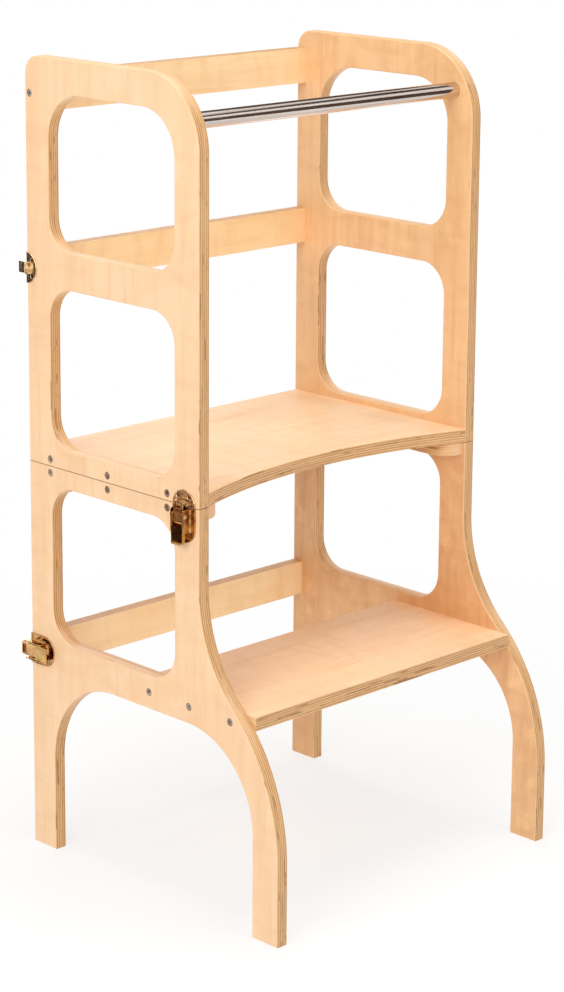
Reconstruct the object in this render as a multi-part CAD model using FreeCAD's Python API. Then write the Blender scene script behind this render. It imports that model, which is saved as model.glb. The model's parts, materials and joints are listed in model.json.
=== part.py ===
import FreeCAD, Part
import math
import os

from FreeCAD import Vector

# Toddler kitchen helper stool: a plywood standing tower in two halves. The upper half folds
# back and down about two butt hinges and then stands behind the lower half as a small table,
# with the step as its seat. Four toggle latches hold the halves: two across the joint of the
# tower, two across the back edges when it is folded.
#
# Millimetres. X runs to the right, Y to the back, Z up. Depths are written from the back edges
# of the side panels (y = 0, the front is negative) and every finished piece is moved at the end
# so that the origin is the middle of the footprint at floor level.

# ---------------------------------------------------------------- driving dimensions
HEIGHT = 900.0
WIDTH = 428.0
PLY = 15.0
TOP_DEPTH = 277.0
FOOT_DEPTH = 397.5
JOINT_HEIGHT = 450.0
JOINT_GAP = 0.6
EDGE_BEVEL = 1.2

# side panels
TOP_FRONT_RADIUS = 80.0
TOP_BACK_RADIUS = 20.0
LEG_WIDTH = 38.0
WINDOW_MARGIN = 38.0
WINDOW_RADIUS = 35.0
TOP_WINDOW_RADIUS = 50.0
WINDOW_BAR = 41.0
WINDOW_BAR_RISE = 3.0
JOINT_TO_WINDOW = 21.5
PLATFORM_TO_WINDOW = 7.0
ARCH_HEIGHT = 211.0
ARCH_RADIUS = 100.0
FRONT_STRAIGHT_END = 362.6
FRONT_HOLLOW_RADIUS = 160.0
FRONT_FOOT_RADIUS = 214.0

# boards
PLATFORM_SET_BACK = 3.0
PLATFORM_HOLLOW = 36.0
STEP_HEIGHT = 222.5
STEP_BACK = 173.0
STEP_DEPTH = 176.0
BATTEN_WIDTH = 27.0
BATTEN_FRONT = 273.0
BATTEN_CORNER_RADIUS = 26.5
SLAT_HEIGHT = 41.0
TOP_SLAT_DROP = 61.3
MIDDLE_SLAT_SHARE = 0.44
LOW_SLAT_HEIGHT = 209.3

# hand rail
RAIL_RADIUS = 9.0
RAIL_DEPTH = 248.5
RAIL_DROP = 48.7
RAIL_SOCKET = 8.0

# small round pieces that repeat are drawn with a few flat sides
PIN_SIDES = 12
RIVET_HEAD_SIDES = 8
SCREW_HEAD_SIDES = 8
SCREW_SIDES = 6

# wood screws, their heads sunk a little below the faces
SCREW_HEAD_RADIUS = 4.2
SCREW_HEAD_HEIGHT = 2.4
SCREW_SINK = 0.6
SCREW_SHANK_RADIUS = 2.4
SCREW_LENGTH = 40.0
RAIL_SCREW_LENGTH = 29.0
BOARD_SCREW_DEPTHS = (36.0, 131.5, 227.5)
STEP_SCREW_DEPTHS = (198.0, 261.5, 325.0)

# small countersunk screws of the latches and hinges
PLATE_SCREW_HEAD_RADIUS = 2.7
PLATE_SCREW_SHANK_RADIUS = 1.3
PLATE_SCREW_LENGTH = 11.0

# butt hinges
HINGE_LENGTH = 60.0
HINGE_OFFSET = 115.0
LEAF_THICKNESS = 1.5
LEAF_HEIGHT = 14.0
KNUCKLE_RADIUS = 3.0
HINGE_PIN_RADIUS = 1.5
KNUCKLE_SHARE = 1.0 / 3.0
HINGE_SCREW_OFFSET = 20.0

# toggle latches, in their own frame: u towards the keeper from the parting plane, w across,
# n outwards from the panel
LATCH_WIDTH = 35.0
LATCH_LENGTH = 40.0
LATCH_PLATE = 1.5
LATCH_SHEET = 1.2
FRONT_LATCH_DEPTH = 255.0
REAR_LATCH_DROP = 217.5
EAR_OUTSIDE = 10.3
EAR_START = 1.5
EAR_END = 27.5
EAR_HEIGHT = 11.5
EAR_BEVEL = 1.5
LEVER_OUTSIDE = 8.8
LEVER_PIVOT = (-9.0, 8.5)
LEVER_PIVOT_RADIUS = 1.5
LEVER_NOSE = 3.2
LEVER_TOP = 11.4
LEVER_BELLY = 4.2
LEVER_BEVEL = 1.8
LEVER_TIP_DEPTH = 3.0
FINGER_PLATE_START = 20.6
FINGER_TIP_LENGTH = 3.0
FINGER_TIP_RISE = 1.4
CLAW_PIVOT = (-16.0, 7.0)
CLAW_PIN_RADIUS = 1.1
CLAW_HALF_WIDTH = 7.2
CLAW_REACH = 7.2
CLAW_LIP_LOW = 3.6
CLAW_WINDOW_HALF_WIDTH = 5.0
CLAW_WINDOW_START = -1.0
CLAW_WINDOW_END = 5.0
KEEPER_TAB_HALF_WIDTH = 6.5
TAB_BEVEL = 1.5
KEEPER_TONGUE_REACH = 10.2
RIVET_HEAD_RADIUS = 2.6
RIVET_HEAD_HEIGHT = 0.9
LATCH_SCREW = (-32.5, 9.5)
KEEPER_SCREW = (10.5, 8.5)

# clearances
SCREW_CLEARANCE = 0.1
RAIL_CLEARANCE = 0.15
MOVING_CLEARANCE = 0.35
PIN_CLEARANCE = 0.08
CLAW_CLEARANCE = 0.5
PLATE_EDGE_INSET = 0.2
CUT_MARGIN = 5.0
TOUCHING = 1e-6

# ---------------------------------------------------------------- worked out from them
OUTER_X = WIDTH / 2.0
INNER_X = OUTER_X - PLY
LOWER_TOP = JOINT_HEIGHT - JOINT_GAP / 2.0
UPPER_BOTTOM = JOINT_HEIGHT + JOINT_GAP / 2.0
PLATFORM_TOP = UPPER_BOTTOM + PLY
LOW_WINDOW_TOP = JOINT_HEIGHT - JOINT_TO_WINDOW
REAR_LATCH_HEIGHT = JOINT_HEIGHT - REAR_LATCH_DROP
TOP_SLAT_HEIGHT = HEIGHT - TOP_SLAT_DROP
MIDDLE_SLAT_HEIGHT = JOINT_HEIGHT + MIDDLE_SLAT_SHARE * (HEIGHT - JOINT_HEIGHT)
RAIL_HEIGHT = HEIGHT - RAIL_DROP
HINGE_Y = JOINT_GAP / 2.0
BOARD_BACK = -PLATFORM_SET_BACK
HINGE_RAIL_FRONT = BOARD_BACK - PLY
SLAT_MIDDLE = SLAT_HEIGHT / 2.0
LATCH_RADIUS = LATCH_WIDTH / 2.0
PLATE_START = HINGE_Y + PLATE_EDGE_INSET
EAR_INSIDE = EAR_OUTSIDE - LATCH_SHEET
LEVER_INSIDE = LEVER_OUTSIDE - LATCH_SHEET
CLAW_CURL_RADIUS = CLAW_PIN_RADIUS + PIN_CLEARANCE + LATCH_SHEET
CLAW_TOP = CLAW_PIVOT[1] + CLAW_CURL_RADIUS
CLAW_UNDERSIDE = CLAW_TOP - LATCH_SHEET
CLAW_LIP_INSIDE = CLAW_REACH - LATCH_SHEET
TAB_BACK = CLAW_LIP_INSIDE - CLAW_CLEARANCE
TAB_TOP = CLAW_UNDERSIDE - CLAW_CLEARANCE
TONGUE_LOW = LATCH_PLATE + MOVING_CLEARANCE
TONGUE_TOP = TONGUE_LOW + LATCH_SHEET
BACK_REACH = HINGE_Y + max(CLAW_REACH, KEEPER_TONGUE_REACH)
TO_ORIGIN = Vector(0, (FOOT_DEPTH - BACK_REACH) / 2.0, 0)


# ---------------------------------------------------------------- drawing helpers
def save(name, solids):
    """Write one node: a solid, or a group of separate identical solids."""
    if isinstance(solids, list):
        shape = Part.makeCompound(solids)
    else:
        shape = solids
    moved = shape.copy()
    moved.translate(TO_ORIGIN)
    moved.exportStep(os.path.join("parts", name + ".step"))


def rounded_wire(corners, to_vector):
    """Closed wire through (a, b, radius) corners, each rounded by a tangent arc."""
    points = [Vector(a, b, 0) for a, b, radius in corners]
    joins = []
    for index, corner in enumerate(corners):
        here = points[index]
        radius = corner[2]
        if radius == 0:
            joins.append((here, None, here))
            continue
        before = (points[index - 1] - here).normalize()
        after = (points[(index + 1) % len(points)] - here).normalize()
        half_angle = before.getAngle(after) / 2.0
        inward = (before + after).normalize()
        centre = here + inward * (radius / math.sin(half_angle))
        reach = radius / math.tan(half_angle)
        joins.append((here + before * reach, centre - inward * radius, here + after * reach))
    edges = []
    for index, (start, middle, end) in enumerate(joins):
        previous_end = joins[index - 1][2]
        if previous_end.distanceToPoint(start) > TOUCHING:
            edges.append(Part.LineSegment(to_vector(previous_end), to_vector(start)).toShape())
        if middle is not None:
            arc = Part.Arc(to_vector(start), to_vector(middle), to_vector(end))
            edges.append(arc.toShape())
    return Part.Wire(edges)


def polygon_wire(corners, to_vector):
    """Closed wire of straight edges through (a, b) corners."""
    points = [to_vector(Vector(a, b, 0)) for a, b in corners]
    return Part.makePolygon(points + [points[0]])


def side_view(point):
    """(depth, height) on a side panel's plane x = 0."""
    return Vector(0, point.x, point.y)


def latch_side(point):
    """(u, n) on a latch's middle plane w = 0."""
    return Vector(point.x, 0, point.y)


def latch_face(point):
    """(u, w) on a latch's seat n = 0."""
    return Vector(point.x, point.y, 0)


def extruded(wire, start, travel):
    """Solid from a flat wire, moved by start and swept by travel."""
    solid = Part.Face(wire).extrude(travel)
    solid.translate(start)
    return solid


def block(x_range, y_range, z_range):
    """Box between two limits on each axis."""
    size = Vector(x_range[1] - x_range[0], y_range[1] - y_range[0], z_range[1] - z_range[0])
    return Part.makeBox(size.x, size.y, size.z, Vector(x_range[0], y_range[0], z_range[0]))


def edges_along_x(solid):
    """The edges of a board that run from side to side."""
    chosen = []
    for edge in solid.Edges:
        box = edge.BoundBox
        if box.XLength > box.YLength + box.ZLength:
            chosen.append(edge)
    return chosen


def mirrored(solid):
    """The same piece on the other side of the middle plane x = 0."""
    return solid.mirror(Vector(0, 0, 0), Vector(1, 0, 0))


def turned_to(solid, seat, outward):
    """Piece drawn with its seat at the origin and +Z outwards, put on a seat."""
    placed = solid.copy()
    turn = FreeCAD.Rotation(Vector(0, 0, 1), outward)
    placed.Placement = FreeCAD.Placement(seat, turn).multiply(placed.Placement)
    return placed


# ---------------------------------------------------------------- screws
def around(radius, sides, height):
    """Corners of a regular polygon about Z, its flats as far out as the radius."""
    corner = radius / math.cos(math.pi / sides)
    turns = [math.pi * (2 * count + 1) / sides for count in range(sides)]
    points = [Vector(corner * math.cos(turn), corner * math.sin(turn), height) for turn in turns]
    return points + [points[0]]


def bar(radius, sides, start, end):
    """Small round bar along Z between two heights, drawn with flat sides."""
    return Part.Face(Part.makePolygon(around(radius, sides, start))).extrude(Vector(0, 0, end - start))


def cone(radii, sides, start, end):
    """Small cone along Z from one radius to another, drawn with flat sides."""
    low = around(radii[0], sides, start)
    high = around(radii[1], sides, end)
    faces = [Part.Face(Part.makePolygon(low)), Part.Face(Part.makePolygon(high))]
    for count in range(sides):
        side = [low[count], low[count + 1], high[count + 1], high[count], low[count]]
        faces.append(Part.Face(Part.makePolygon(side)))
    return Part.Solid(Part.makeShell(faces))


def wood_screw(length, clearance=0.0):
    """Screw below z = 0, its head sunk; with a clearance it is the hole for it."""
    head_top = 0.0 if clearance else -SCREW_SINK
    head_end = -SCREW_SINK - SCREW_HEAD_HEIGHT
    head = bar(SCREW_HEAD_RADIUS + clearance, SCREW_HEAD_SIDES, head_end, head_top)
    shank = bar(SCREW_SHANK_RADIUS + clearance, SCREW_SIDES, -length - clearance, head_end)
    return head.fuse(shank)


def plate_screw(clearance=0.0):
    """Small countersunk screw below z = 0; with a clearance it is the hole for it."""
    head = PLATE_SCREW_HEAD_RADIUS + clearance
    shank = PLATE_SCREW_SHANK_RADIUS + clearance
    seat = cone((shank, head), SCREW_SIDES, shank - head, 0)
    end = -PLATE_SCREW_LENGTH - clearance
    return seat.fuse(bar(shank, SCREW_SIDES, end, (shank - head) / 2.0))


WOOD_SCREW = wood_screw(SCREW_LENGTH)
WOOD_SCREW_HOLE = wood_screw(SCREW_LENGTH, SCREW_CLEARANCE)
RAIL_SCREW = wood_screw(RAIL_SCREW_LENGTH)
RAIL_SCREW_HOLE = wood_screw(RAIL_SCREW_LENGTH, SCREW_CLEARANCE)
PLATE_SCREW = plate_screw()
PLATE_SCREW_HOLE = plate_screw(SCREW_CLEARANCE)


def side_seats(depths, height):
    """Seats of screws on both outer faces, as (point, outward normal)."""
    seats = []
    for side in (-1, 1):
        for depth in depths:
            seats.append((Vector(side * OUTER_X, -depth, height), Vector(side, 0, 0)))
    return seats


def drilled(solid, hole, seats):
    """Solid with a hole at each seat whose hole reaches it."""
    holes = [turned_to(hole, seat, outward) for seat, outward in seats]
    reaching = [cutter for cutter in holes if cutter.BoundBox.intersect(solid.BoundBox)]
    if reaching:
        return solid.cut(Part.makeCompound(reaching))
    return solid


def screws_at(screw, seats):
    """One screw on each seat."""
    return [turned_to(screw, seat, outward) for seat, outward in seats]


# ---------------------------------------------------------------- latch places
def latch_place(origin, towards_keeper, outward):
    """Placement that takes the latch frame (u, w, n) to its place on a panel."""
    across = outward.cross(towards_keeper)
    columns = (towards_keeper, across, outward, origin)
    rows = [[column[axis] for column in columns] for axis in range(3)]
    matrix = FreeCAD.Matrix(*rows[0], *rows[1], *rows[2], 0, 0, 0, 1)
    return FreeCAD.Placement(matrix)


def placed(solid, place):
    """Copy of a latch piece in its place."""
    moved = solid.copy()
    moved.Placement = place.multiply(moved.Placement)
    return moved


LATCH_PLACES = {}
KEEPER_PLACES = {}
for side_name, side in (("left", -1), ("right", 1)):
    out = Vector(side, 0, 0)
    front_origin = Vector(side * OUTER_X, -FRONT_LATCH_DEPTH, JOINT_HEIGHT)
    rear_origin = Vector(side * OUTER_X, HINGE_Y, REAR_LATCH_HEIGHT)
    rear_keeper_origin = Vector(side * OUTER_X, HINGE_Y, JOINT_HEIGHT + REAR_LATCH_DROP)
    LATCH_PLACES["front_" + side_name] = latch_place(front_origin, Vector(0, 0, 1), out)
    LATCH_PLACES["rear_" + side_name] = latch_place(rear_origin, Vector(0, 1, 0), out)
    KEEPER_PLACES["front_" + side_name] = LATCH_PLACES["front_" + side_name]
    KEEPER_PLACES["rear_" + side_name] = latch_place(rear_keeper_origin, Vector(0, -1, 0), out)


def plate_seats(places, spot):
    """Seats of plate screws at a (u, w) spot and its mirror image on each latch place."""
    seats = []
    for place in places.values():
        outward = place.Rotation.multVec(Vector(0, 0, 1))
        for sign in (-1, 1):
            seat = place.multVec(Vector(spot[0], sign * spot[1], LATCH_PLATE))
            seats.append((seat, outward))
    return seats


# ---------------------------------------------------------------- screw seats
PLATFORM_SEATS = side_seats(BOARD_SCREW_DEPTHS, UPPER_BOTTOM + PLY / 2.0)
BATTEN_SEATS = side_seats(BOARD_SCREW_DEPTHS, LOWER_TOP - PLY / 2.0)
STEP_SEATS = side_seats(STEP_SCREW_DEPTHS, STEP_HEIGHT + PLY / 2.0)
TOP_SLAT_SEATS = side_seats((PLY / 2.0,), TOP_SLAT_HEIGHT + SLAT_MIDDLE)
MIDDLE_SLAT_SEATS = side_seats((PLY / 2.0,), MIDDLE_SLAT_HEIGHT + SLAT_MIDDLE)
LOW_SLAT_SEATS = side_seats((PLY / 2.0,), LOW_SLAT_HEIGHT + SLAT_MIDDLE)
LATCH_SCREW_SEATS = plate_seats(LATCH_PLACES, LATCH_SCREW)
KEEPER_SCREW_SEATS = plate_seats(KEEPER_PLACES, KEEPER_SCREW)
HINGE_RAIL_SEATS = []
for side in (-1, 1):
    batten_middle = side * (INNER_X - BATTEN_WIDTH / 2.0)
    rail_seat = Vector(batten_middle, BOARD_BACK, LOWER_TOP - PLY / 2.0)
    HINGE_RAIL_SEATS.append((rail_seat, Vector(0, 1, 0)))


def hinge_seats(height):
    """Seats of the hinge screws on the leaves' back faces at one height."""
    seats = []
    for hinge_middle in (-HINGE_OFFSET, HINGE_OFFSET):
        for x in (hinge_middle - HINGE_SCREW_OFFSET, hinge_middle + HINGE_SCREW_OFFSET):
            seats.append((Vector(x, BOARD_BACK + LEAF_THICKNESS, height), Vector(0, 1, 0)))
    return seats


HINGE_LOWER_SEATS = hinge_seats(LOWER_TOP - PLY / 2.0)
HINGE_UPPER_SEATS = hinge_seats(UPPER_BOTTOM + PLY / 2.0)


# ---------------------------------------------------------------- side panels
def window_cutter(bottom, top, top_radius):
    """Rounded window through a side panel."""
    corners = [
        (-WINDOW_MARGIN, bottom, WINDOW_RADIUS),
        (-WINDOW_MARGIN, top, top_radius),
        (WINDOW_MARGIN - TOP_DEPTH, top, top_radius),
        (WINDOW_MARGIN - TOP_DEPTH, bottom, WINDOW_RADIUS),
    ]
    wire = rounded_wire(corners, side_view)
    travel = Vector(PLY + 2 * CUT_MARGIN, 0, 0)
    return extruded(wire, Vector(-OUTER_X - CUT_MARGIN, 0, 0), travel)


def upper_side():
    """Left upper side panel with its two windows."""
    corners = [
        (0, UPPER_BOTTOM, 0),
        (0, HEIGHT, TOP_BACK_RADIUS),
        (-TOP_DEPTH, HEIGHT, TOP_FRONT_RADIUS),
        (-TOP_DEPTH, UPPER_BOTTOM, 0),
    ]
    wire = rounded_wire(corners, side_view)
    panel = extruded(wire, Vector(-OUTER_X, 0, 0), Vector(PLY, 0, 0))
    bar_bottom = MIDDLE_SLAT_HEIGHT + WINDOW_BAR_RISE
    bar_top = bar_bottom + WINDOW_BAR
    low_window = window_cutter(PLATFORM_TOP + PLATFORM_TO_WINDOW, bar_bottom, WINDOW_RADIUS)
    top_window = window_cutter(bar_top, HEIGHT - WINDOW_MARGIN, TOP_WINDOW_RADIUS)
    socket = rail_bar(RAIL_RADIUS + RAIL_CLEARANCE, RAIL_SOCKET + RAIL_CLEARANCE)
    return panel.cut(Part.makeCompound([low_window, top_window, socket]))


def lower_side():
    """Left lower side panel: window, leg arch and the foot that sweeps forward."""
    turn = math.acos(1 - (FOOT_DEPTH - TOP_DEPTH) / (FRONT_HOLLOW_RADIUS + FRONT_FOOT_RADIUS))
    hollow_centre = Vector(0, -TOP_DEPTH - FRONT_HOLLOW_RADIUS, FRONT_STRAIGHT_END)
    sweep_height = (FRONT_HOLLOW_RADIUS + FRONT_FOOT_RADIUS) * math.sin(turn)
    foot_centre = Vector(0, FRONT_FOOT_RADIUS - FOOT_DEPTH, FRONT_STRAIGHT_END - sweep_height)

    def on_hollow(angle):
        arm = Vector(0, math.cos(angle), -math.sin(angle))
        return hollow_centre + arm * FRONT_HOLLOW_RADIUS

    def on_foot(angle):
        arm = Vector(0, -math.cos(angle), math.sin(angle))
        return foot_centre + arm * FRONT_FOOT_RADIUS

    back_top = Vector(0, 0, LOWER_TOP)
    front_top = Vector(0, -TOP_DEPTH, LOWER_TOP)
    back_low = Vector(0, 0, 0)
    front_low = Vector(0, -FOOT_DEPTH, 0)
    outline = [
        Part.LineSegment(back_low, back_top),
        Part.LineSegment(back_top, front_top),
        Part.LineSegment(front_top, on_hollow(0)),
        Part.Arc(on_hollow(0), on_hollow(turn / 2), on_hollow(turn)),
        Part.Arc(on_foot(turn), on_foot(turn / 2), on_foot(0)),
        Part.LineSegment(on_foot(0), front_low),
        Part.LineSegment(front_low, back_low),
    ]
    wire = Part.Wire([edge.toShape() for edge in outline])
    panel = extruded(wire, Vector(-OUTER_X, 0, 0), Vector(PLY, 0, 0))
    arch = [
        (-LEG_WIDTH, -ARCH_RADIUS, 0),
        (-LEG_WIDTH, ARCH_HEIGHT, ARCH_RADIUS),
        (LEG_WIDTH - FOOT_DEPTH, ARCH_HEIGHT, ARCH_RADIUS),
        (LEG_WIDTH - FOOT_DEPTH, -ARCH_RADIUS, 0),
    ]
    through = Vector(PLY + 2 * CUT_MARGIN, 0, 0)
    outside = Vector(-OUTER_X - CUT_MARGIN, 0, 0)
    arch_cutter = extruded(rounded_wire(arch, side_view), outside, through)
    window_bottom = LOW_SLAT_HEIGHT + SLAT_HEIGHT
    window = window_cutter(window_bottom, LOW_WINDOW_TOP, WINDOW_RADIUS)
    return panel.cut(Part.makeCompound([arch_cutter, window]))


# ---------------------------------------------------------------- boards and rail
def rail_bar(radius, bite):
    """Bar across the front, biting into both side panels."""
    half = INNER_X + bite
    return Part.makeCylinder(
        radius, 2 * half, Vector(-half, -RAIL_DEPTH, RAIL_HEIGHT), Vector(1, 0, 0)
    )


def cross_board(y_range, z_range):
    """Board between the side panels with its long edges bevelled."""
    board = block((-INNER_X, INNER_X), y_range, z_range)
    return board.makeChamfer(EDGE_BEVEL, edges_along_x(board))


def slat(height):
    """Back slat, flush with the back edges of the side panels."""
    return cross_board((-PLY, 0), (height, height + SLAT_HEIGHT))


def standing_platform():
    """Board that the child stands on, its front edge hollowed in one long arc."""
    back_left = Vector(-INNER_X, BOARD_BACK, UPPER_BOTTOM)
    back_right = Vector(INNER_X, BOARD_BACK, UPPER_BOTTOM)
    front_left = Vector(-INNER_X, -TOP_DEPTH, UPPER_BOTTOM)
    front_right = Vector(INNER_X, -TOP_DEPTH, UPPER_BOTTOM)
    front_middle = Vector(0, PLATFORM_HOLLOW - TOP_DEPTH, UPPER_BOTTOM)
    outline = [
        Part.LineSegment(front_left, back_left),
        Part.LineSegment(back_left, back_right),
        Part.LineSegment(back_right, front_right),
        Part.Arc(front_right, front_middle, front_left),
    ]
    wire = Part.Wire([edge.toShape() for edge in outline])
    board = Part.Face(wire).extrude(Vector(0, 0, PLY))
    front = [edge for edge in edges_along_x(board) if edge.BoundBox.YMax < BOARD_BACK - PLY]
    return board.makeChamfer(EDGE_BEVEL, front)


def support_batten():
    """Left batten that the platform rests on, its free front corner rounded off."""
    corners = [
        (-INNER_X, HINGE_RAIL_FRONT, 0),
        (-INNER_X, -BATTEN_FRONT, 0),
        (BATTEN_WIDTH - INNER_X, -BATTEN_FRONT, BATTEN_CORNER_RADIUS),
        (BATTEN_WIDTH - INNER_X, HINGE_RAIL_FRONT, 0),
    ]
    wire = rounded_wire(corners, latch_face)
    return extruded(wire, Vector(0, 0, LOWER_TOP - PLY), Vector(0, 0, PLY))


# ---------------------------------------------------------------- hinges
def knuckles(hinge_middle, middle_one, radius, extra):
    """The middle knuckle, or the two outer ones, lengthened at each end by extra."""
    share = HINGE_LENGTH * KNUCKLE_SHARE
    half_gap = MOVING_CLEARANCE / 2.0
    if middle_one:
        spans = [(half_gap - share / 2.0, share / 2.0 - half_gap)]
    else:
        outer_start = share / 2.0 + half_gap
        outer_end = HINGE_LENGTH / 2.0
        spans = [(-outer_end, -outer_start), (outer_start, outer_end)]
    axis_point = Vector(hinge_middle, HINGE_Y, JOINT_HEIGHT)
    rolls = [bar(radius, PIN_SIDES, start - extra, end + extra) for start, end in spans]
    return [turned_to(roll, axis_point, Vector(1, 0, 0)) for roll in rolls]


def hinge_leaf(hinge_middle, upper):
    """One leaf with its knuckles, notched for the other leaf's knuckles."""
    half = HINGE_LENGTH / 2.0
    if upper:
        heights = (UPPER_BOTTOM, UPPER_BOTTOM + LEAF_HEIGHT)
        bore_radius = HINGE_PIN_RADIUS + PIN_CLEARANCE
        seats = HINGE_UPPER_SEATS
    else:
        heights = (LOWER_TOP - LEAF_HEIGHT, LOWER_TOP)
        bore_radius = HINGE_PIN_RADIUS
        seats = HINGE_LOWER_SEATS
    x_range = (hinge_middle - half, hinge_middle + half)
    plate = block(x_range, (BOARD_BACK, BOARD_BACK + LEAF_THICKNESS), heights)
    notch_radius = KNUCKLE_RADIUS + MOVING_CLEARANCE
    notch = knuckles(hinge_middle, not upper, notch_radius, MOVING_CLEARANCE)
    rolls = knuckles(hinge_middle, upper, KNUCKLE_RADIUS, 0)
    bore = pin_bar(hinge_middle, bore_radius)
    leaf = plate.cut(Part.makeCompound(notch)).fuse(rolls).cut(bore)
    return drilled(leaf.removeSplitter(), PLATE_SCREW_HOLE, seats)


def pin_bar(hinge_middle, radius):
    """Bar through all knuckles of one hinge: its pin, or the bore for it."""
    roll = bar(radius, PIN_SIDES, -HINGE_LENGTH / 2.0, HINGE_LENGTH / 2.0)
    return turned_to(roll, Vector(hinge_middle, HINGE_Y, JOINT_HEIGHT), Vector(1, 0, 0))


# ---------------------------------------------------------------- toggle latches
def latch_plate_outline(start, straight_end, sign):
    """Plate with a straight edge at the parting plane and a half-round far end."""
    corners = [
        Vector(sign * start, LATCH_RADIUS, 0),
        Vector(sign * straight_end, LATCH_RADIUS, 0),
        Vector(sign * straight_end, -LATCH_RADIUS, 0),
        Vector(sign * start, -LATCH_RADIUS, 0),
    ]
    far = Vector(sign * (straight_end + LATCH_RADIUS), 0, 0)
    outline = [Part.Arc(corners[1], far, corners[2])]
    outline.append(Part.LineSegment(corners[2], corners[3]))
    outline.append(Part.LineSegment(corners[3], corners[0]))
    outline.append(Part.LineSegment(corners[0], corners[1]))
    plate = Part.Face(Part.Wire([edge.toShape() for edge in outline]))
    return plate.extrude(Vector(0, 0, LATCH_PLATE))


def both_sides(wire, inside, outside):
    """A flange drawn on w = 0 and put on each side, between inside and outside."""
    near = extruded(wire, Vector(0, inside, 0), Vector(0, outside - inside, 0))
    far = extruded(wire, Vector(0, -outside, 0), Vector(0, outside - inside, 0))
    return [near, far]


def cross_bar(centre, radius, half_width):
    """Small round bar across a latch, about a (u, n) centre."""
    roll = bar(radius, PIN_SIDES, -half_width, half_width)
    return turned_to(roll, Vector(centre[0], 0, centre[1]), Vector(0, 1, 0))


def latch_base():
    """Base plate with the two ears that carry the lever."""
    plate = latch_plate_outline(PLATE_START, LATCH_LENGTH - LATCH_RADIUS, -1)
    corners = [
        (-EAR_START, 0),
        (-EAR_START, EAR_HEIGHT - EAR_BEVEL),
        (-EAR_START - EAR_BEVEL, EAR_HEIGHT),
        (EAR_BEVEL - EAR_END, EAR_HEIGHT),
        (-EAR_END, EAR_HEIGHT - EAR_BEVEL),
        (-EAR_END, 0),
    ]
    ears = both_sides(polygon_wire(corners, latch_side), EAR_INSIDE, EAR_OUTSIDE)
    base = plate.fuse(ears).removeSplitter()
    return base.cut(cross_bar(LEVER_PIVOT, LEVER_PIVOT_RADIUS, LATCH_RADIUS))


def keeper():
    """Half-round keeper plate, the upright tab that the claw pulls on, and a guide tongue."""
    plate = latch_plate_outline(PLATE_START, PLATE_START + EAR_START, 1)
    plate = plate.common(Part.makeCylinder(LATCH_RADIUS, LATCH_PLATE))
    tab = [
        (-KEEPER_TAB_HALF_WIDTH, 0),
        (-KEEPER_TAB_HALF_WIDTH, TAB_TOP - TAB_BEVEL),
        (TAB_BEVEL - KEEPER_TAB_HALF_WIDTH, TAB_TOP),
        (KEEPER_TAB_HALF_WIDTH - TAB_BEVEL, TAB_TOP),
        (KEEPER_TAB_HALF_WIDTH, TAB_TOP - TAB_BEVEL),
        (KEEPER_TAB_HALF_WIDTH, 0),
    ]
    wire = polygon_wire(tab, side_view)
    upright = extruded(wire, Vector(TAB_BACK - LATCH_SHEET, 0, 0), Vector(LATCH_SHEET, 0, 0))
    section = [
        (TAB_BACK - LATCH_SHEET, LATCH_PLATE),
        (PLATE_START, LATCH_PLATE),
        (PLATE_START, TONGUE_LOW),
        (-KEEPER_TONGUE_REACH, TONGUE_LOW),
        (-KEEPER_TONGUE_REACH, TONGUE_TOP),
        (TAB_BACK - LATCH_SHEET, TONGUE_TOP),
    ]
    across = Vector(0, 2 * KEEPER_TAB_HALF_WIDTH, 0)
    wire = polygon_wire(section, latch_side)
    tongue = extruded(wire, Vector(0, -KEEPER_TAB_HALF_WIDTH, 0), across)
    return plate.fuse([upright, tongue]).removeSplitter()


def lever():
    """Lever: two cheeks on the pivot and the finger plate that joins them."""
    nose_end = LEVER_PIVOT[0] + LEVER_NOSE
    nose_low = LEVER_PIVOT[1] - LEVER_NOSE
    cheek = [
        (nose_end, nose_low + LEVER_BEVEL),
        (nose_end, LEVER_TOP - LEVER_BEVEL),
        (nose_end - LEVER_BEVEL, LEVER_TOP),
        (-LATCH_LENGTH, LEVER_TOP),
        (-LATCH_LENGTH, LEVER_TOP - LEVER_TIP_DEPTH),
        (CLAW_PIVOT[0] - LEVER_NOSE, LEVER_BELLY),
        (LEVER_PIVOT[0] - LEVER_NOSE, LEVER_BELLY),
        (nose_end - LEVER_BEVEL, nose_low),
    ]
    cheeks = both_sides(polygon_wire(cheek, latch_side), LEVER_INSIDE, LEVER_OUTSIDE)
    bend = FINGER_TIP_LENGTH - LATCH_LENGTH
    section = [
        (-FINGER_PLATE_START, LEVER_TOP - LATCH_SHEET),
        (-FINGER_PLATE_START, LEVER_TOP),
        (bend, LEVER_TOP),
        (-LATCH_LENGTH, LEVER_TOP + FINGER_TIP_RISE),
        (-LATCH_LENGTH, LEVER_TOP + FINGER_TIP_RISE - LATCH_SHEET),
        (bend, LEVER_TOP - LATCH_SHEET),
    ]
    across = Vector(0, 2 * LEVER_OUTSIDE, 0)
    wire = polygon_wire(section, latch_side)
    finger_plate = extruded(wire, Vector(0, -LEVER_OUTSIDE, 0), across)
    body = finger_plate.fuse(cheeks).removeSplitter()
    body = body.cut(cross_bar(LEVER_PIVOT, LEVER_PIVOT_RADIUS + PIN_CLEARANCE, LATCH_RADIUS))
    return body.cut(cross_bar(CLAW_PIVOT, CLAW_PIN_RADIUS, LATCH_RADIUS))


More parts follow.
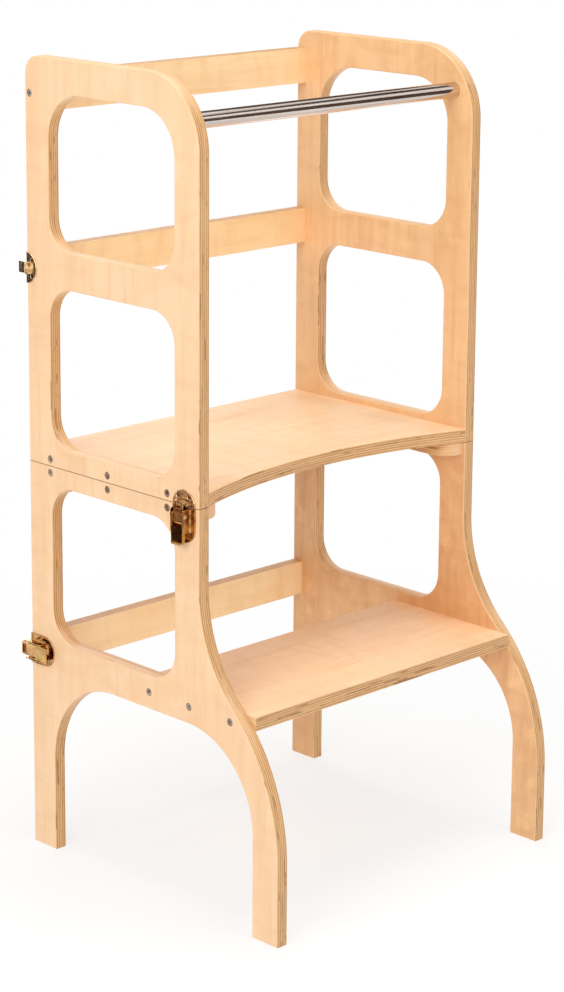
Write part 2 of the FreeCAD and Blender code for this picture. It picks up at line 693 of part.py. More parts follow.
def claw():
    """Claw: curled round its pin, flat over the tab, with a window and a lip behind the tab."""
    curl = cross_bar(CLAW_PIVOT, CLAW_CURL_RADIUS, CLAW_HALF_WIDTH)
    section = [
        (CLAW_PIVOT[0], CLAW_UNDERSIDE),
        (CLAW_PIVOT[0], CLAW_TOP),
        (CLAW_REACH - LATCH_SHEET / 2.0, CLAW_TOP),
        (CLAW_REACH, CLAW_TOP - LATCH_SHEET / 2.0),
        (CLAW_REACH, CLAW_LIP_LOW),
        (CLAW_LIP_INSIDE, CLAW_LIP_LOW),
        (CLAW_LIP_INSIDE, CLAW_UNDERSIDE),
    ]
    across = Vector(0, 2 * CLAW_HALF_WIDTH, 0)
    plate = extruded(polygon_wire(section, latch_side), Vector(0, -CLAW_HALF_WIDTH, 0), across)
    window_width = (-CLAW_WINDOW_HALF_WIDTH, CLAW_WINDOW_HALF_WIDTH)
    window_height = (CLAW_UNDERSIDE, CLAW_TOP)
    window = block((CLAW_WINDOW_START, CLAW_WINDOW_END), window_width, window_height)
    body = plate.cut(window).fuse(curl).removeSplitter()
    return body.cut(cross_bar(CLAW_PIVOT, CLAW_PIN_RADIUS + PIN_CLEARANCE, LATCH_RADIUS))


def claw_pin():
    """Pin that the claw hangs on, riveted in the lever's cheeks."""
    return cross_bar(CLAW_PIVOT, CLAW_PIN_RADIUS, LEVER_OUTSIDE)


def pivot_rivets():
    """The two short rivets through ear and cheek, with bevelled heads outside."""
    stem = bar(LEVER_PIVOT_RADIUS, PIN_SIDES, LEVER_INSIDE, EAR_OUTSIDE)
    head_radii = (RIVET_HEAD_RADIUS, LEVER_PIVOT_RADIUS)
    head_end = EAR_OUTSIDE + RIVET_HEAD_HEIGHT
    rivet = stem.fuse(cone(head_radii, RIVET_HEAD_SIDES, EAR_OUTSIDE, head_end))
    centre = Vector(LEVER_PIVOT[0], 0, LEVER_PIVOT[1])
    return [turned_to(rivet, centre, Vector(0, sign, 0)) for sign in (-1, 1)]


# ---------------------------------------------------------------- build
def save_pair(name, left, cutters):
    """Save a left piece and its mirror image, each drilled for its own screws."""
    for side_name, solid in (("left", left), ("right", mirrored(left))):
        for hole, seats in cutters:
            solid = drilled(solid, hole, seats)
        save(name + "_" + side_name, solid)


def build_lower_half():
    panel_holes = STEP_SEATS + BATTEN_SEATS + LOW_SLAT_SEATS
    side_cutters = [(WOOD_SCREW_HOLE, panel_holes), (PLATE_SCREW_HOLE, LATCH_SCREW_SEATS)]
    save_pair("lower_side", lower_side(), side_cutters)
    step = cross_board((-STEP_BACK - STEP_DEPTH, -STEP_BACK), (STEP_HEIGHT, STEP_HEIGHT + PLY))
    save("step_board", drilled(step, WOOD_SCREW_HOLE, STEP_SEATS))
    save("lower_back_slat", drilled(slat(LOW_SLAT_HEIGHT), WOOD_SCREW_HOLE, LOW_SLAT_SEATS))
    rail_range = (LOWER_TOP - SLAT_HEIGHT, LOWER_TOP)
    hinge_rail = cross_board((HINGE_RAIL_FRONT, BOARD_BACK), rail_range)
    hinge_rail = drilled(hinge_rail, RAIL_SCREW_HOLE, HINGE_RAIL_SEATS)
    save("hinge_rail", drilled(hinge_rail, PLATE_SCREW_HOLE, HINGE_LOWER_SEATS))
    batten_cutters = [(WOOD_SCREW_HOLE, BATTEN_SEATS), (RAIL_SCREW_HOLE, HINGE_RAIL_SEATS)]
    save_pair("support_batten", support_batten(), batten_cutters)
    save("step_screws", screws_at(WOOD_SCREW, STEP_SEATS))
    save("batten_screws", screws_at(WOOD_SCREW, BATTEN_SEATS))
    save("lower_slat_screws", screws_at(WOOD_SCREW, LOW_SLAT_SEATS))
    save("hinge_rail_screws", screws_at(RAIL_SCREW, HINGE_RAIL_SEATS))


def build_upper_half():
    panel_holes = PLATFORM_SEATS + TOP_SLAT_SEATS + MIDDLE_SLAT_SEATS
    side_cutters = [(WOOD_SCREW_HOLE, panel_holes), (PLATE_SCREW_HOLE, KEEPER_SCREW_SEATS)]
    save_pair("upper_side", upper_side(), side_cutters)
    platform = drilled(standing_platform(), WOOD_SCREW_HOLE, PLATFORM_SEATS)
    save("standing_platform", drilled(platform, PLATE_SCREW_HOLE, HINGE_UPPER_SEATS))
    save("top_back_slat", drilled(slat(TOP_SLAT_HEIGHT), WOOD_SCREW_HOLE, TOP_SLAT_SEATS))
    middle_slat = drilled(slat(MIDDLE_SLAT_HEIGHT), WOOD_SCREW_HOLE, MIDDLE_SLAT_SEATS)
    save("middle_back_slat", middle_slat)
    save("hand_rail", rail_bar(RAIL_RADIUS, RAIL_SOCKET))
    save("platform_screws", screws_at(WOOD_SCREW, PLATFORM_SEATS))
    save("upper_slat_screws", screws_at(WOOD_SCREW, TOP_SLAT_SEATS + MIDDLE_SLAT_SEATS))


def build_hinges():
    for side_name, middle in (("left", -HINGE_OFFSET), ("right", HINGE_OFFSET)):
        save("hinge_lower_leaf_" + side_name, hinge_leaf(middle, upper=False))
        save("hinge_upper_leaf_" + side_name, hinge_leaf(middle, upper=True))
    pins = [pin_bar(middle, HINGE_PIN_RADIUS) for middle in (-HINGE_OFFSET, HINGE_OFFSET)]
    save("hinge_pins", pins)
    save("hinge_lower_screws", screws_at(PLATE_SCREW, HINGE_LOWER_SEATS))
    save("hinge_upper_screws", screws_at(PLATE_SCREW, HINGE_UPPER_SEATS))


def build_latches():
    pieces = {"latch_base": latch_base(), "latch_lever": lever()}
    pieces["latch_claw"] = claw()
    pieces["latch_claw_pin"] = claw_pin()
    for spot, place in LATCH_PLACES.items():
        for name, piece in pieces.items():
            solid = placed(piece, place)
            if name == "latch_base":
                solid = drilled(solid, PLATE_SCREW_HOLE, LATCH_SCREW_SEATS)
            save(name + "_" + spot, solid)
    for spot, place in KEEPER_PLACES.items():
        solid = drilled(placed(keeper(), place), PLATE_SCREW_HOLE, KEEPER_SCREW_SEATS)
        save("latch_keeper_" + spot, solid)
    rivets = [placed(rivet, place) for place in LATCH_PLACES.values() for rivet in pivot_rivets()]
    save("latch_pivot_rivets", rivets)
    save("latch_base_screws", screws_at(PLATE_SCREW, LATCH_SCREW_SEATS))
    save("latch_keeper_screws", screws_at(PLATE_SCREW, KEEPER_SCREW_SEATS))


os.makedirs("parts", exist_ok=True)
build_lower_half()
build_upper_half()
build_hinges()
build_latches()
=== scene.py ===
import json
import math

import bmesh
import bpy
from mathutils import Matrix, Vector
from mathutils.geometry import tessellate_polygon


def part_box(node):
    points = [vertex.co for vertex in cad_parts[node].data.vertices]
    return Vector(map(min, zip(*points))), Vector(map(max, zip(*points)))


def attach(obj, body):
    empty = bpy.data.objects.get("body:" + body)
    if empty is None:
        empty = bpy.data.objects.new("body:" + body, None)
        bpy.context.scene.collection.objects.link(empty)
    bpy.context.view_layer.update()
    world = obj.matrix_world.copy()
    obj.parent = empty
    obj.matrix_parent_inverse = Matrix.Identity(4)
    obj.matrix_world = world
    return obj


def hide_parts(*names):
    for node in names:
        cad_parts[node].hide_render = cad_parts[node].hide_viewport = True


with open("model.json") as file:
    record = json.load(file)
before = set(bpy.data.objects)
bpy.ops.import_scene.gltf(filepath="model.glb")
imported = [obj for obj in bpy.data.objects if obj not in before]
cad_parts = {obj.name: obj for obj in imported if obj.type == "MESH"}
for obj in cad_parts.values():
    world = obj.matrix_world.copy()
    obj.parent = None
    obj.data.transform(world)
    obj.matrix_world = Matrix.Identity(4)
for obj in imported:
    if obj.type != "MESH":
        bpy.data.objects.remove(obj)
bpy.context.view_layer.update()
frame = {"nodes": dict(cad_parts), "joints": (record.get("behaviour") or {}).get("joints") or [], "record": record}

# ---- the stool's own sizes, metres
PLY = 0.015
EDGE_ROUND = 0.0016
EDGE_STEPS = 4
JOINT = 0.45
ARC_STEP = math.radians(3.0)
HEIGHT = 0.9
TOP_DEPTH = 0.277
FOOT_DEPTH = 0.3975
LEG_WIDTH = 0.038
WINDOW_MARGIN = 0.038
WINDOW_RADIUS = 0.035
TOP_WINDOW_RADIUS = 0.05
TOP_FRONT_RADIUS = 0.08
TOP_BACK_RADIUS = 0.02
WINDOW_BAR = (0.651, 0.692)
LOW_WINDOW = (0.2503, 0.4285)
PLATFORM_TO_WINDOW = 0.007
ARCH_HEIGHT = 0.211
ARCH_RADIUS = 0.1
FRONT_STRAIGHT_END = 0.3626
FRONT_HOLLOW_RADIUS = 0.16
FRONT_FOOT_RADIUS = 0.214
PLATFORM_HOLLOW = 0.036
HOLLOW_STEPS = 24
BATTEN_CORNER = 0.0265
SCREW_HEAD = 0.0042
HOLE_DEPTH = 0.003
HOLE_ROOM = 0.0001
RAIL_ROOM = 0.00015
RAIL_CHAMFER = 0.0006
MERGED = 1e-6

lower_low, lower_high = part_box("lower_side_right")
upper_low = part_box("upper_side_right")[0]
INNER_X = lower_low.x
OUTER_X = lower_high.x
BACK_Y = lower_high.y
SIDES = ((-1, "left"), (1, "right"))


# ---- outlines
def arc_points(centre, radius, start, end):
    """Points along an arc, its two ends included."""
    count = max(2, math.ceil(abs(end - start) / ARC_STEP))
    turns = [start + (end - start) * step / count for step in range(count + 1)]
    return [
        (centre[0] + radius * math.cos(turn), centre[1] + radius * math.sin(turn))
        for turn in turns
    ]


def rounded_outline(corners):
    """Outline through (a, b, radius) corners, each turned into a tangent arc."""
    outline = []
    for index, (a, b, radius) in enumerate(corners):
        here = Vector((a, b))
        if radius == 0:
            outline.append((a, b))
            continue
        before = (Vector(corners[index - 1][:2]) - here).normalized()
        after = (Vector(corners[(index + 1) % len(corners)][:2]) - here).normalized()
        half_angle = before.angle(after) / 2
        centre = here + (before + after).normalized() * (radius / math.sin(half_angle))
        first = here + before * (radius / math.tan(half_angle)) - centre
        last = here + after * (radius / math.tan(half_angle)) - centre
        start = math.atan2(first.y, first.x)
        sweep = math.atan2(last.y, last.x) - start
        sweep = (sweep + math.pi) % (2 * math.pi) - math.pi
        outline.extend(arc_points(centre, radius, start, start + sweep))
    return outline


def circle(centre, radius, count=28):
    """Round outline, counter-clockwise."""
    turns = [2 * math.pi * step / count for step in range(count)]
    return [(centre[0] + radius * math.cos(t), centre[1] + radius * math.sin(t)) for t in turns]


def turned_left(outline):
    """The outline counter-clockwise, without points that repeat."""
    kept = []
    for point in outline:
        if not kept or (Vector(point) - Vector(kept[-1])).length > MERGED:
            kept.append(point)
    if (Vector(kept[0]) - Vector(kept[-1])).length <= MERGED:
        kept.pop()
    area = sum(p[0] * q[1] - q[0] * p[1] for p, q in zip(kept, kept[1:] + kept[:1]))
    return kept if area > 0 else kept[::-1]


def drawn_in(outline, distance, square):
    """The outline moved to its left by a distance, except along its square edges."""
    moved = []
    count = len(outline)
    for index in range(count):
        here = Vector(outline[index])
        along_a = (here - Vector(outline[index - 1])).normalized()
        along_b = (Vector(outline[(index + 1) % count]) - here).normalized()
        normal_a = Vector((-along_a.y, along_a.x))
        normal_b = Vector((-along_b.y, along_b.x))
        far_a = 0.0 if square(outline[index - 1], outline[index]) else distance
        far_b = 0.0 if square(outline[index], outline[(index + 1) % count]) else distance
        turn = normal_a.x * normal_b.y - normal_a.y * normal_b.x
        if abs(turn) < 1e-4:
            step = (normal_a + normal_b).normalized() * max(far_a, far_b)
        else:
            step = Vector((
                (far_a * normal_b.y - far_b * normal_a.y) / turn,
                (far_b * normal_a.x - far_a * normal_b.x) / turn,
            ))
        moved.append((here.x + step.x, here.y + step.y))
    return moved


def frame_matrix(*columns):
    """Matrix from its three axes and its origin."""
    rows = [[column[row] for column in columns] for row in range(3)]
    return Matrix(rows + [[0, 0, 0, 1]])


# ---- meshes
def join_rings(mesh, lower, upper):
    """Wall of quads between two rings of as many vertices."""
    count = len(lower)
    for index in range(count):
        after = (index + 1) % count
        mesh.faces.new((lower[index], lower[after], upper[after], upper[index]))


def turned_piece(start, along, profile, count, sleeve=False):
    """Mesh turned from a (distance, radius) profile: its ends closed, or a sleeve with a bore."""
    along = Vector(along).normalized()
    first = along.orthogonal().normalized()
    second = along.cross(first)
    spokes = [first * a + second * b for a, b in circle((0.0, 0.0), 1.0, count)]
    mesh = bmesh.new()
    rings = []
    for distance, radius in profile:
        centre = Vector(start) + along * distance
        rings.append([mesh.verts.new(centre + spoke * radius) for spoke in spokes])
    for lower, upper in zip(rings, rings[1:] + rings[:1] if sleeve else rings[1:]):
        join_rings(mesh, lower, upper)
    if not sleeve:
        mesh.faces.new(rings[0][::-1])
        mesh.faces.new(rings[-1])
    bmesh.ops.recalc_face_normals(mesh, faces=mesh.faces)
    return mesh


def turned_bar(start, along, radius, length, chamfer, count):
    """Round bar with chamfered ends."""
    return turned_piece(start, along, [
        (0.0, radius - chamfer), (chamfer, radius),
        (length - chamfer, radius), (length, radius - chamfer),
    ], count)


class Sheet:
    """Closed mesh of a flat sheet: outline, openings, blind round holes and rounded rims.

    It is drawn on (a, b) with its thickness along c from 0, and to_place puts it in the row frame.
    """

    def __init__(self, thickness, rounding, to_place, steps=EDGE_STEPS, square=None):
        self.mesh = bmesh.new()
        self.thickness = thickness
        self.rounding = rounding
        self.to_place = to_place
        self.steps = steps
        self.square = square or (lambda start, end: False)
        self.caps = {"low": [], "high": []}

    def ring(self, outline, level):
        return [self.mesh.verts.new(self.to_place(a, b, level)) for a, b in outline]

    def cut(self, outline, opening):
        """Wall round an outline, its rims rounded on both faces."""
        outline = turned_left(outline)
        if opening:
            outline = outline[::-1]
        turns = [math.pi / 2 * step / self.steps for step in range(self.steps + 1)]
        round_off = self.rounding
        rim = [(round_off * (1 - math.sin(t)), round_off * (1 - math.cos(t))) for t in turns]
        rim += [(inward, self.thickness - level) for inward, level in reversed(rim)]
        made = []
        for inward, level in rim:
            shape = drawn_in(outline, inward, self.square)
            made.append((shape, self.ring(shape, level)))
        for (_, lower), (_, upper) in zip(made, made[1:]):
            join_rings(self.mesh, lower, upper)
        self.caps["low"].append(made[0])
        self.caps["high"].append(made[-1])

    def blind_hole(self, centre, radius, depth, face):
        """Round hole of some depth in one of the two faces."""
        shape = circle(centre, radius)[::-1]
        top = self.thickness if face == "high" else 0.0
        floor = self.thickness - depth if face == "high" else depth
        rim = self.ring(shape, top)
        bottom = self.ring(shape, floor)
        if face == "high":
            join_rings(self.mesh, bottom, rim)
            self.mesh.faces.new(bottom[::-1])
        else:
            join_rings(self.mesh, rim, bottom)
            self.mesh.faces.new(bottom)
        self.caps[face].append((shape, rim))

    def finish(self):
        for loops in self.caps.values():
            verts = [vert for _, ring in loops for vert in ring]
            flat = [[Vector((a, b, 0)) for a, b in shape] for shape, _ in loops]
            for triangle in tessellate_polygon(flat):
                corners = [verts[index] for index in triangle]
                if len(set(corners)) == 3:
                    self.mesh.faces.new(corners)
        bmesh.ops.recalc_face_normals(self.mesh, faces=self.mesh.faces)
        return self.mesh


def linked(name, data):
    """New object of some data, in the scene."""
    made = bpy.data.objects.new(name, data)
    bpy.context.scene.collection.objects.link(made)
    return made


def object_from(mesh, name, sharp=math.radians(35)):
    """Object of a finished bmesh: smooth faces, sharp where the mesh turns a corner."""
    for face in mesh.faces:
        face.smooth = True
    for edge in mesh.edges:
        if len(edge.link_faces) == 2:
            edge.smooth = edge.calc_face_angle(0.0) < sharp
    data = bpy.data.meshes.new(name)
    mesh.to_mesh(data)
    mesh.free()
    return linked(name, data)


def weighted(piece):
    """Flat faces keep flat shading next to rounded rims."""
    modifier = piece.modifiers.new("weighted", "WEIGHTED_NORMAL")
    modifier.mode = "FACE_AREA"
    modifier.weight = 90
    modifier.keep_sharp = True
    return piece


def dressed(piece, body, material, replaced):
    """Give a finished piece its material and body, and hide the nodes it stands for."""
    piece.data.materials.clear()
    piece.data.materials.append(material)
    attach(piece, body)
    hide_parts(*replaced)


# ---- node trees
class Nodes:
    """Node tree built a call at a time."""

    def __init__(self, tree):
        self.tree = tree

    def put(self, socket, value):
        """Link a socket, or set its number, choice or colour."""
        if isinstance(value, bpy.types.NodeSocket):
            self.tree.links.new(value, socket)
        elif socket.type == "RGBA":
            socket.default_value = (*value, 1.0)
        else:
            socket.default_value = value

    def node(self, kind, inputs, **settings):
        """New node with its settings, its inputs given by name or number."""
        made = self.tree.nodes.new(kind)
        for name, value in settings.items():
            setattr(made, name, value)
        for socket, value in inputs.items():
            self.put(made.inputs[socket], value)
        return made

    def math(self, operation, *values):
        return self.node("ShaderNodeMath", dict(enumerate(values)), operation=operation).outputs[0]


class Shader(Nodes):
    """Material on Object coordinates."""

    def __init__(self, name):
        self.material = bpy.data.materials.new(name)
        self.material.use_nodes = True
        super().__init__(self.material.node_tree)
        self.tree.nodes.clear()
        self.output = self.node("ShaderNodeOutputMaterial", {})
        self.bsdf = self.node("ShaderNodeBsdfPrincipled", {})
        self.tree.links.new(self.bsdf.outputs["BSDF"], self.output.inputs["Surface"])
        self.place = self.node("ShaderNodeTexCoord", {}).outputs["Object"]

    def surface(self, values):
        for name, value in values.items():
            self.put(self.bsdf.inputs[name], value)

    def mapped(self, scale):
        return self.node("ShaderNodeMapping", {"Vector": self.place, "Scale": scale}).outputs[0]

    def noise(self, vector, scale, detail=3.0, roughness=0.5, distortion=0.0, seed=0.0):
        return self.node("ShaderNodeTexNoise", {
            "Vector": vector, "W": seed, "Scale": scale, "Detail": detail,
            "Roughness": roughness, "Distortion": distortion,
        }, noise_dimensions="4D").outputs[0]

    def ramp(self, factor, stops):
        node = self.node("ShaderNodeValToRGB", {0: factor})
        for element, (position, colour) in zip(node.color_ramp.elements, stops):
            element.position = position
            element.color = (*colour, 1.0)
        return node.outputs[0]

    def remap(self, value, low, high, to_low=0.0, to_high=1.0):
        return self.node("ShaderNodeMapRange", {
            "Value": value, "From Min": low, "From Max": high,
            "To Min": to_low, "To Max": to_high,
        }).outputs[0]

    def mix(self, factor, first, second):
        inputs = {0: factor, 6: first, 7: second}
        return self.node("ShaderNodeMix", inputs, data_type="RGBA").outputs[2]

    def layered(self, tone, layers):
        """Lay tones over one another, each as strong as its (pattern, from, to, most, tone)."""
        for pattern, low, high, most, over in layers:
            tone = self.mix(self.remap(pattern, low, high, 0.0, most), tone, over)
        return tone

    def axis(self, vector, name):
        return self.node("ShaderNodeSeparateXYZ", {0: vector}).outputs[name]

    def facing(self, name):
        """How far the surface faces along an axis, either way."""
        normal = self.node("ShaderNodeNewGeometry", {}).outputs["Normal"]
        return self.math("ABSOLUTE", self.axis(normal, name))

    def bump(self, height, strength, distance):
        inputs = {"Height": height, "Strength": strength, "Distance": distance}
        self.put(self.bsdf.inputs["Normal"], self.node("ShaderNodeBump", inputs).outputs[0])


def linear(red, green, blue):
    """Linear colour of a screen colour written 0 to 255."""
    def one(value):
        share = value / 255
        return share / 12.92 if share <= 0.04045 else ((share + 0.055) / 1.055) ** 2.4

    return (one(red), one(green), one(blue))


def veneer(*tones):
    """Pale, warm and deep tone of a veneer."""
    return [linear(*tone) for tone in tones]


# ---- materials
PLIES = 11.0
PEACH = veneer((249, 211, 171), (244, 201, 158), (229, 180, 132))
# painted shade: darker copies of the veneer for faces in shade, inner faces and undersides; the lower inner faces,
# in deeper shade, darker still
SHADE_PAINTED_VENEER = veneer((240, 196, 148), (232, 184, 132), (212, 157, 104))
DEEP_SHADE_PAINTED_VENEER = veneer((230, 182, 134), (222, 170, 118), (200, 142, 92))
HONEY = veneer((252, 218, 170), (248, 208, 155), (230, 182, 126))
YELLOWED = linear(247, 203, 146)
LIGHT_PLY = linear(234, 190, 138)
MIDDLE_PLY = linear(218, 170, 116)
DARK_PLY = linear(190, 138, 85)
PORE = linear(128, 84, 48)
# painted shade along the parting joint: its tone, the width of its band and its strength
JOINT_SHADE_TONE = linear(146, 98, 58)
JOINT_SHADE_BAND = (0.0003, 0.0008)
JOINT_SHADE_STRENGTH = 0.45
GRAIN_DRAWN_OUT = 0.085
RIPPLE_ACROSS = 0.3


def birch_plywood(name, across, grain, start, seed, low_veneer, high_veneer, shaded_joint=None):
    """Lacquered birch plywood: a veneer on each face, plies in turn along and end grain.

    Edges that face along the grain are painted towards the pale face tone, a painted top light on the reveals; a
    thin band of painted shade darkens the faces along the parting joint.
    """
    shader = Shader(name)
    place, noise, calc = shader.place, shader.noise, shader.math
    along = shader.mapped([GRAIN_DRAWN_OUT if axis == grain else 1.0 for axis in "XYZ"])
    rippled = shader.mapped([1.0 if axis == grain else RIPPLE_ACROSS for axis in "XYZ"])
    wide = noise(along, 11.0, 3.0, 0.55, 0.8, seed)
    streak = noise(along, 75.0, 4.0, 0.6, 0.5, seed + 3)
    fine = noise(along, 430.0, 2.0, 0.5, 0.0, seed + 5)
    cloud = noise(place, 9.0, 2.0, 0.5, 0.3, seed + 9)
    ripple = noise(rippled, 55.0, 2.0, 0.5, 0.6, seed + 11)
    flame = noise(place, 26.0, 3.0, 0.55, 1.2, seed + 13)

    middle = shader.remap(shader.axis(place, across), start, start + PLY)
    upper_face = calc("GREATER_THAN", middle, 0.5)
    pale, warm, deep = [shader.mix(upper_face, *pair) for pair in zip(low_veneer, high_veneer)]
    face = shader.layered(pale, (
        (calc("ABSOLUTE", calc("SUBTRACT", wide, 0.53)), 0.02, 0.18, 1.0, warm),
        (streak, 0.48, 0.76, 0.62, deep),
        (cloud, 0.42, 0.7, 0.55, warm),
        (flame, 0.5, 0.66, 0.42, YELLOWED),
        (ripple, 0.5, 0.74, 0.34, deep),
        (fine, 0.45, 0.8, 0.2, deep),
    ))

    wander = noise(place, 45.0, 3.0, 0.55, 0.0, seed + 2)
    count = calc("ADD", calc("MULTIPLY", middle, PLIES), shader.remap(wander, 0.0, 1.0, -0.3, 0.3))
    ply = calc("FLOOR", count)
    own = noise(place, 14.0, 2.0, 0.5, 0.0, calc("MULTIPLY", ply, 7.31))
    gaps = noise(place, 32.0, 2.0, 0.5, 0.0, calc("MULTIPLY", ply, 3.7))
    rift = noise(place, 21.0, 3.0, 0.6, 0.0, calc("MULTIPLY", ply, 9.1))
    pores = noise(place, 1100.0, 3.0, 0.65, 0.0, seed + 4)
    flow = noise(shader.mapped((0.3, 0.3, 0.3)), 420.0, 3.0, 0.6, 0.8, seed + 6)
    inside = calc("FRACT", count)
    to_glue = calc("MINIMUM", inside, calc("SUBTRACT", 1.0, inside))
    glue_line = calc("MULTIPLY", shader.remap(to_glue, 0.16, 0.02),
                     shader.remap(gaps, 0.4, 0.62, 0.15, 1.0))
    edge = shader.layered(LIGHT_PLY, (
        (calc("FRACT", calc("MULTIPLY", ply, 0.5)), 0.2, 0.3, 1.0, DARK_PLY),
        (own, 0.42, 0.66, 0.7, MIDDLE_PLY),
        (pores, 0.5, 0.75, 0.35, PORE),
        (flow, 0.56, 0.72, 0.5, DARK_PLY),
        (glue_line, 0.0, 1.0, 0.75, PORE),
        (rift, 0.6, 0.64, 0.62, PORE),
        # painted top light: edges facing along the grain, up and down alike, are painted towards the pale face
        # tone
        (shader.facing(grain), 0.45, 0.95, 0.72, pale),
    ))

    wood = shader.layered(edge, [(shader.facing(across), 0.72, 0.9, 1.0, face)])
    # painted shade: a thin dark band on the faces along the parting joint, standing in for the shade in the gap
    if shaded_joint is not None:
        away = calc("ABSOLUTE", calc("SUBTRACT", shader.axis(place, "Z"), shaded_joint))
        wood = shader.mix(shader.remap(away, *JOINT_SHADE_BAND, JOINT_SHADE_STRENGTH, 0.0), wood, JOINT_SHADE_TONE)
    shader.surface({
        "Base Color": wood, "Roughness": calc("ADD", calc("MULTIPLY", streak, 0.14), 0.4),
        "Specular IOR Level": 0.35, "Coat Weight": 0.1, "Coat Roughness": 0.3,
    })
    shader.bump(calc("ADD", streak, calc("MULTIPLY", pores, 0.4)), 0.12, 0.0004)
    return shader.material


def polished_steel():
    """Polished stainless bar with faint lines drawn along its length."""
    shader = Shader("polished stainless steel")
    lines = shader.noise(shader.mapped((0.012, 1.0, 1.0)), 1300.0, 3.0, 0.6)
    bands = shader.noise(shader.mapped((0.01, 1.0, 1.0)), 240.0, 2.0, 0.5, 0.0, 3.0)
    spread = shader.math("ADD", shader.math("MULTIPLY", lines, 0.35),
                         shader.math("MULTIPLY", bands, 0.65))
    shader.surface({
        "Base Color": shader.ramp(spread, [(0.36, linear(186, 172, 162)),
                                           (0.6, linear(238, 226, 216))]),
        "Metallic": 1.0, "Roughness": shader.remap(lines, 0.3, 0.7, 0.11, 0.2),
    })
    shader.bump(lines, 0.06, 0.0001)
    return shader.material


def plated(name, low, high, roughness, scale, seed, wave=0.5, bow=0.0):
    """Plated pressed metal: faint cloudiness, handling marks, a slightly wavy or bowed face."""
    shader = Shader(name)
    cloud = shader.noise(shader.place, scale, 3.0, 0.55, 0.8, seed)
    marks = shader.noise(shader.mapped((1.0, 0.3, 1.0)), scale * 9, 3.0, 0.7, 0.0, seed + 1)
    waves = shader.noise(shader.place, 130.0, 1.0, 0.5, 0.4, seed + 2)
    shader.surface({
        "Base Color": shader.ramp(cloud, [(0.35, linear(*low)), (0.62, linear(*high))]),
        "Metallic": 1.0, "Roughness": shader.remap(marks, 0.35, 0.75, roughness, roughness + 0.12),
    })
    relief = shader.math("ADD", waves, shader.math("MULTIPLY", marks, 0.06))
    lean = shader.math("MULTIPLY", shader.axis(shader.place, "Z"), bow)
    shader.bump(shader.math("ADD", relief, lean), wave, 0.0002)
    return shader.material


side_ply = {}
# the inner faces of the side panels take the darker veneer as painted shade
for half, seed, inner in (("upper", 1.0, SHADE_PAINTED_VENEER), ("lower", 21.0, DEEP_SHADE_PAINTED_VENEER)):
    side_ply[half, -1] = birch_plywood(half + " left side birch", "X", "Z", -OUTER_X, seed,
                                       PEACH, inner, JOINT)
    side_ply[half, 1] = birch_plywood(half + " right side birch", "X", "Z", INNER_X, seed + 7,
                                      inner, PEACH, JOINT)
steel_bar = polished_steel()
brass = plated("polished brass", (138, 88, 50), (220, 168, 104), 0.06, 60.0, 2.0)
keeper_brass = plated("keeper brass", (196, 148, 96), (255, 238, 206), 0.12, 240.0, 9.0, 2.2)
lever_brass = plated("lever brass", (158, 116, 64), (226, 186, 120), 0.06, 80.0, 5.0, 0.3)
bowed_brass = plated("front lever brass", (150, 108, 60), (222, 180, 116), 0.06, 80.0, 5.0,
                     0.3, 1000.0)
claw_brass = plated("claw brass", (170, 122, 74), (232, 188, 130), 0.1, 80.0, 11.0, 0.3)
hinge_brass = plated("hinge brass", (150, 112, 66), (208, 166, 108), 0.16, 50.0, 8.0)
dark_steel = plated("wood screw steel", (128, 118, 108), (208, 196, 182), 0.26, 260.0, 4.0)
bright_steel = plated("plated screw steel", (142, 106, 64), (222, 182, 124), 0.14, 200.0, 6.0)


# ---- side panels
def side_place(side):
    """(depth, height) with the thickness from the inner face outwards."""
    return lambda a, b, c: Vector((side * (INNER_X + c), BACK_Y - a, b))


def window(bottom, top, top_radius):
    front = TOP_DEPTH - WINDOW_MARGIN
    return rounded_outline([
        (WINDOW_MARGIN, bottom, WINDOW_RADIUS),
        (WINDOW_MARGIN, top, top_radius),
        (front, top, top_radius),
        (front, bottom, WINDOW_RADIUS),
    ])


def flat_at(height):
    """Tells the sawn edges at the joint, which stay square."""
    return lambda start, end: abs(start[1] - height) + abs(end[1] - height) < 1e-4


def screw_marks(node):
    """Lowest and highest corner of each of a node's screws."""
    islands = bmesh.new()
    islands.from_mesh(frame["nodes"][node].data)
    bmesh.ops.remove_doubles(islands, verts=islands.verts, dist=MERGED)
    seen = set()
    marks = []
    for first in islands.verts:
        if first in seen:
            continue
        group = {first}
        rim = [first]
        while rim:
            vert = rim.pop()
            others = {edge.other_vert(vert) for edge in vert.link_edges} - group
            group |= others
            rim.extend(others)
        seen |= group
        low = Vector([min(vert.co[axis] for vert in group) for axis in range(3)])
        high = Vector([max(vert.co[axis] for vert in group) for axis in range(3)])
        marks.append((low, high))
    islands.free()
    return marks


def screw_holes(sheet, nodes):
    """Blind holes in a panel's outer face for the heads of some nodes' screws."""
    for node in nodes:
        for low, high in screw_marks(node):
            if low.x > 0:
                middle = (low + high) / 2
                centre = (BACK_Y - middle.y, middle.z)
                sheet.blind_hole(centre, SCREW_HEAD + HOLE_ROOM, HOLE_DEPTH, "high")


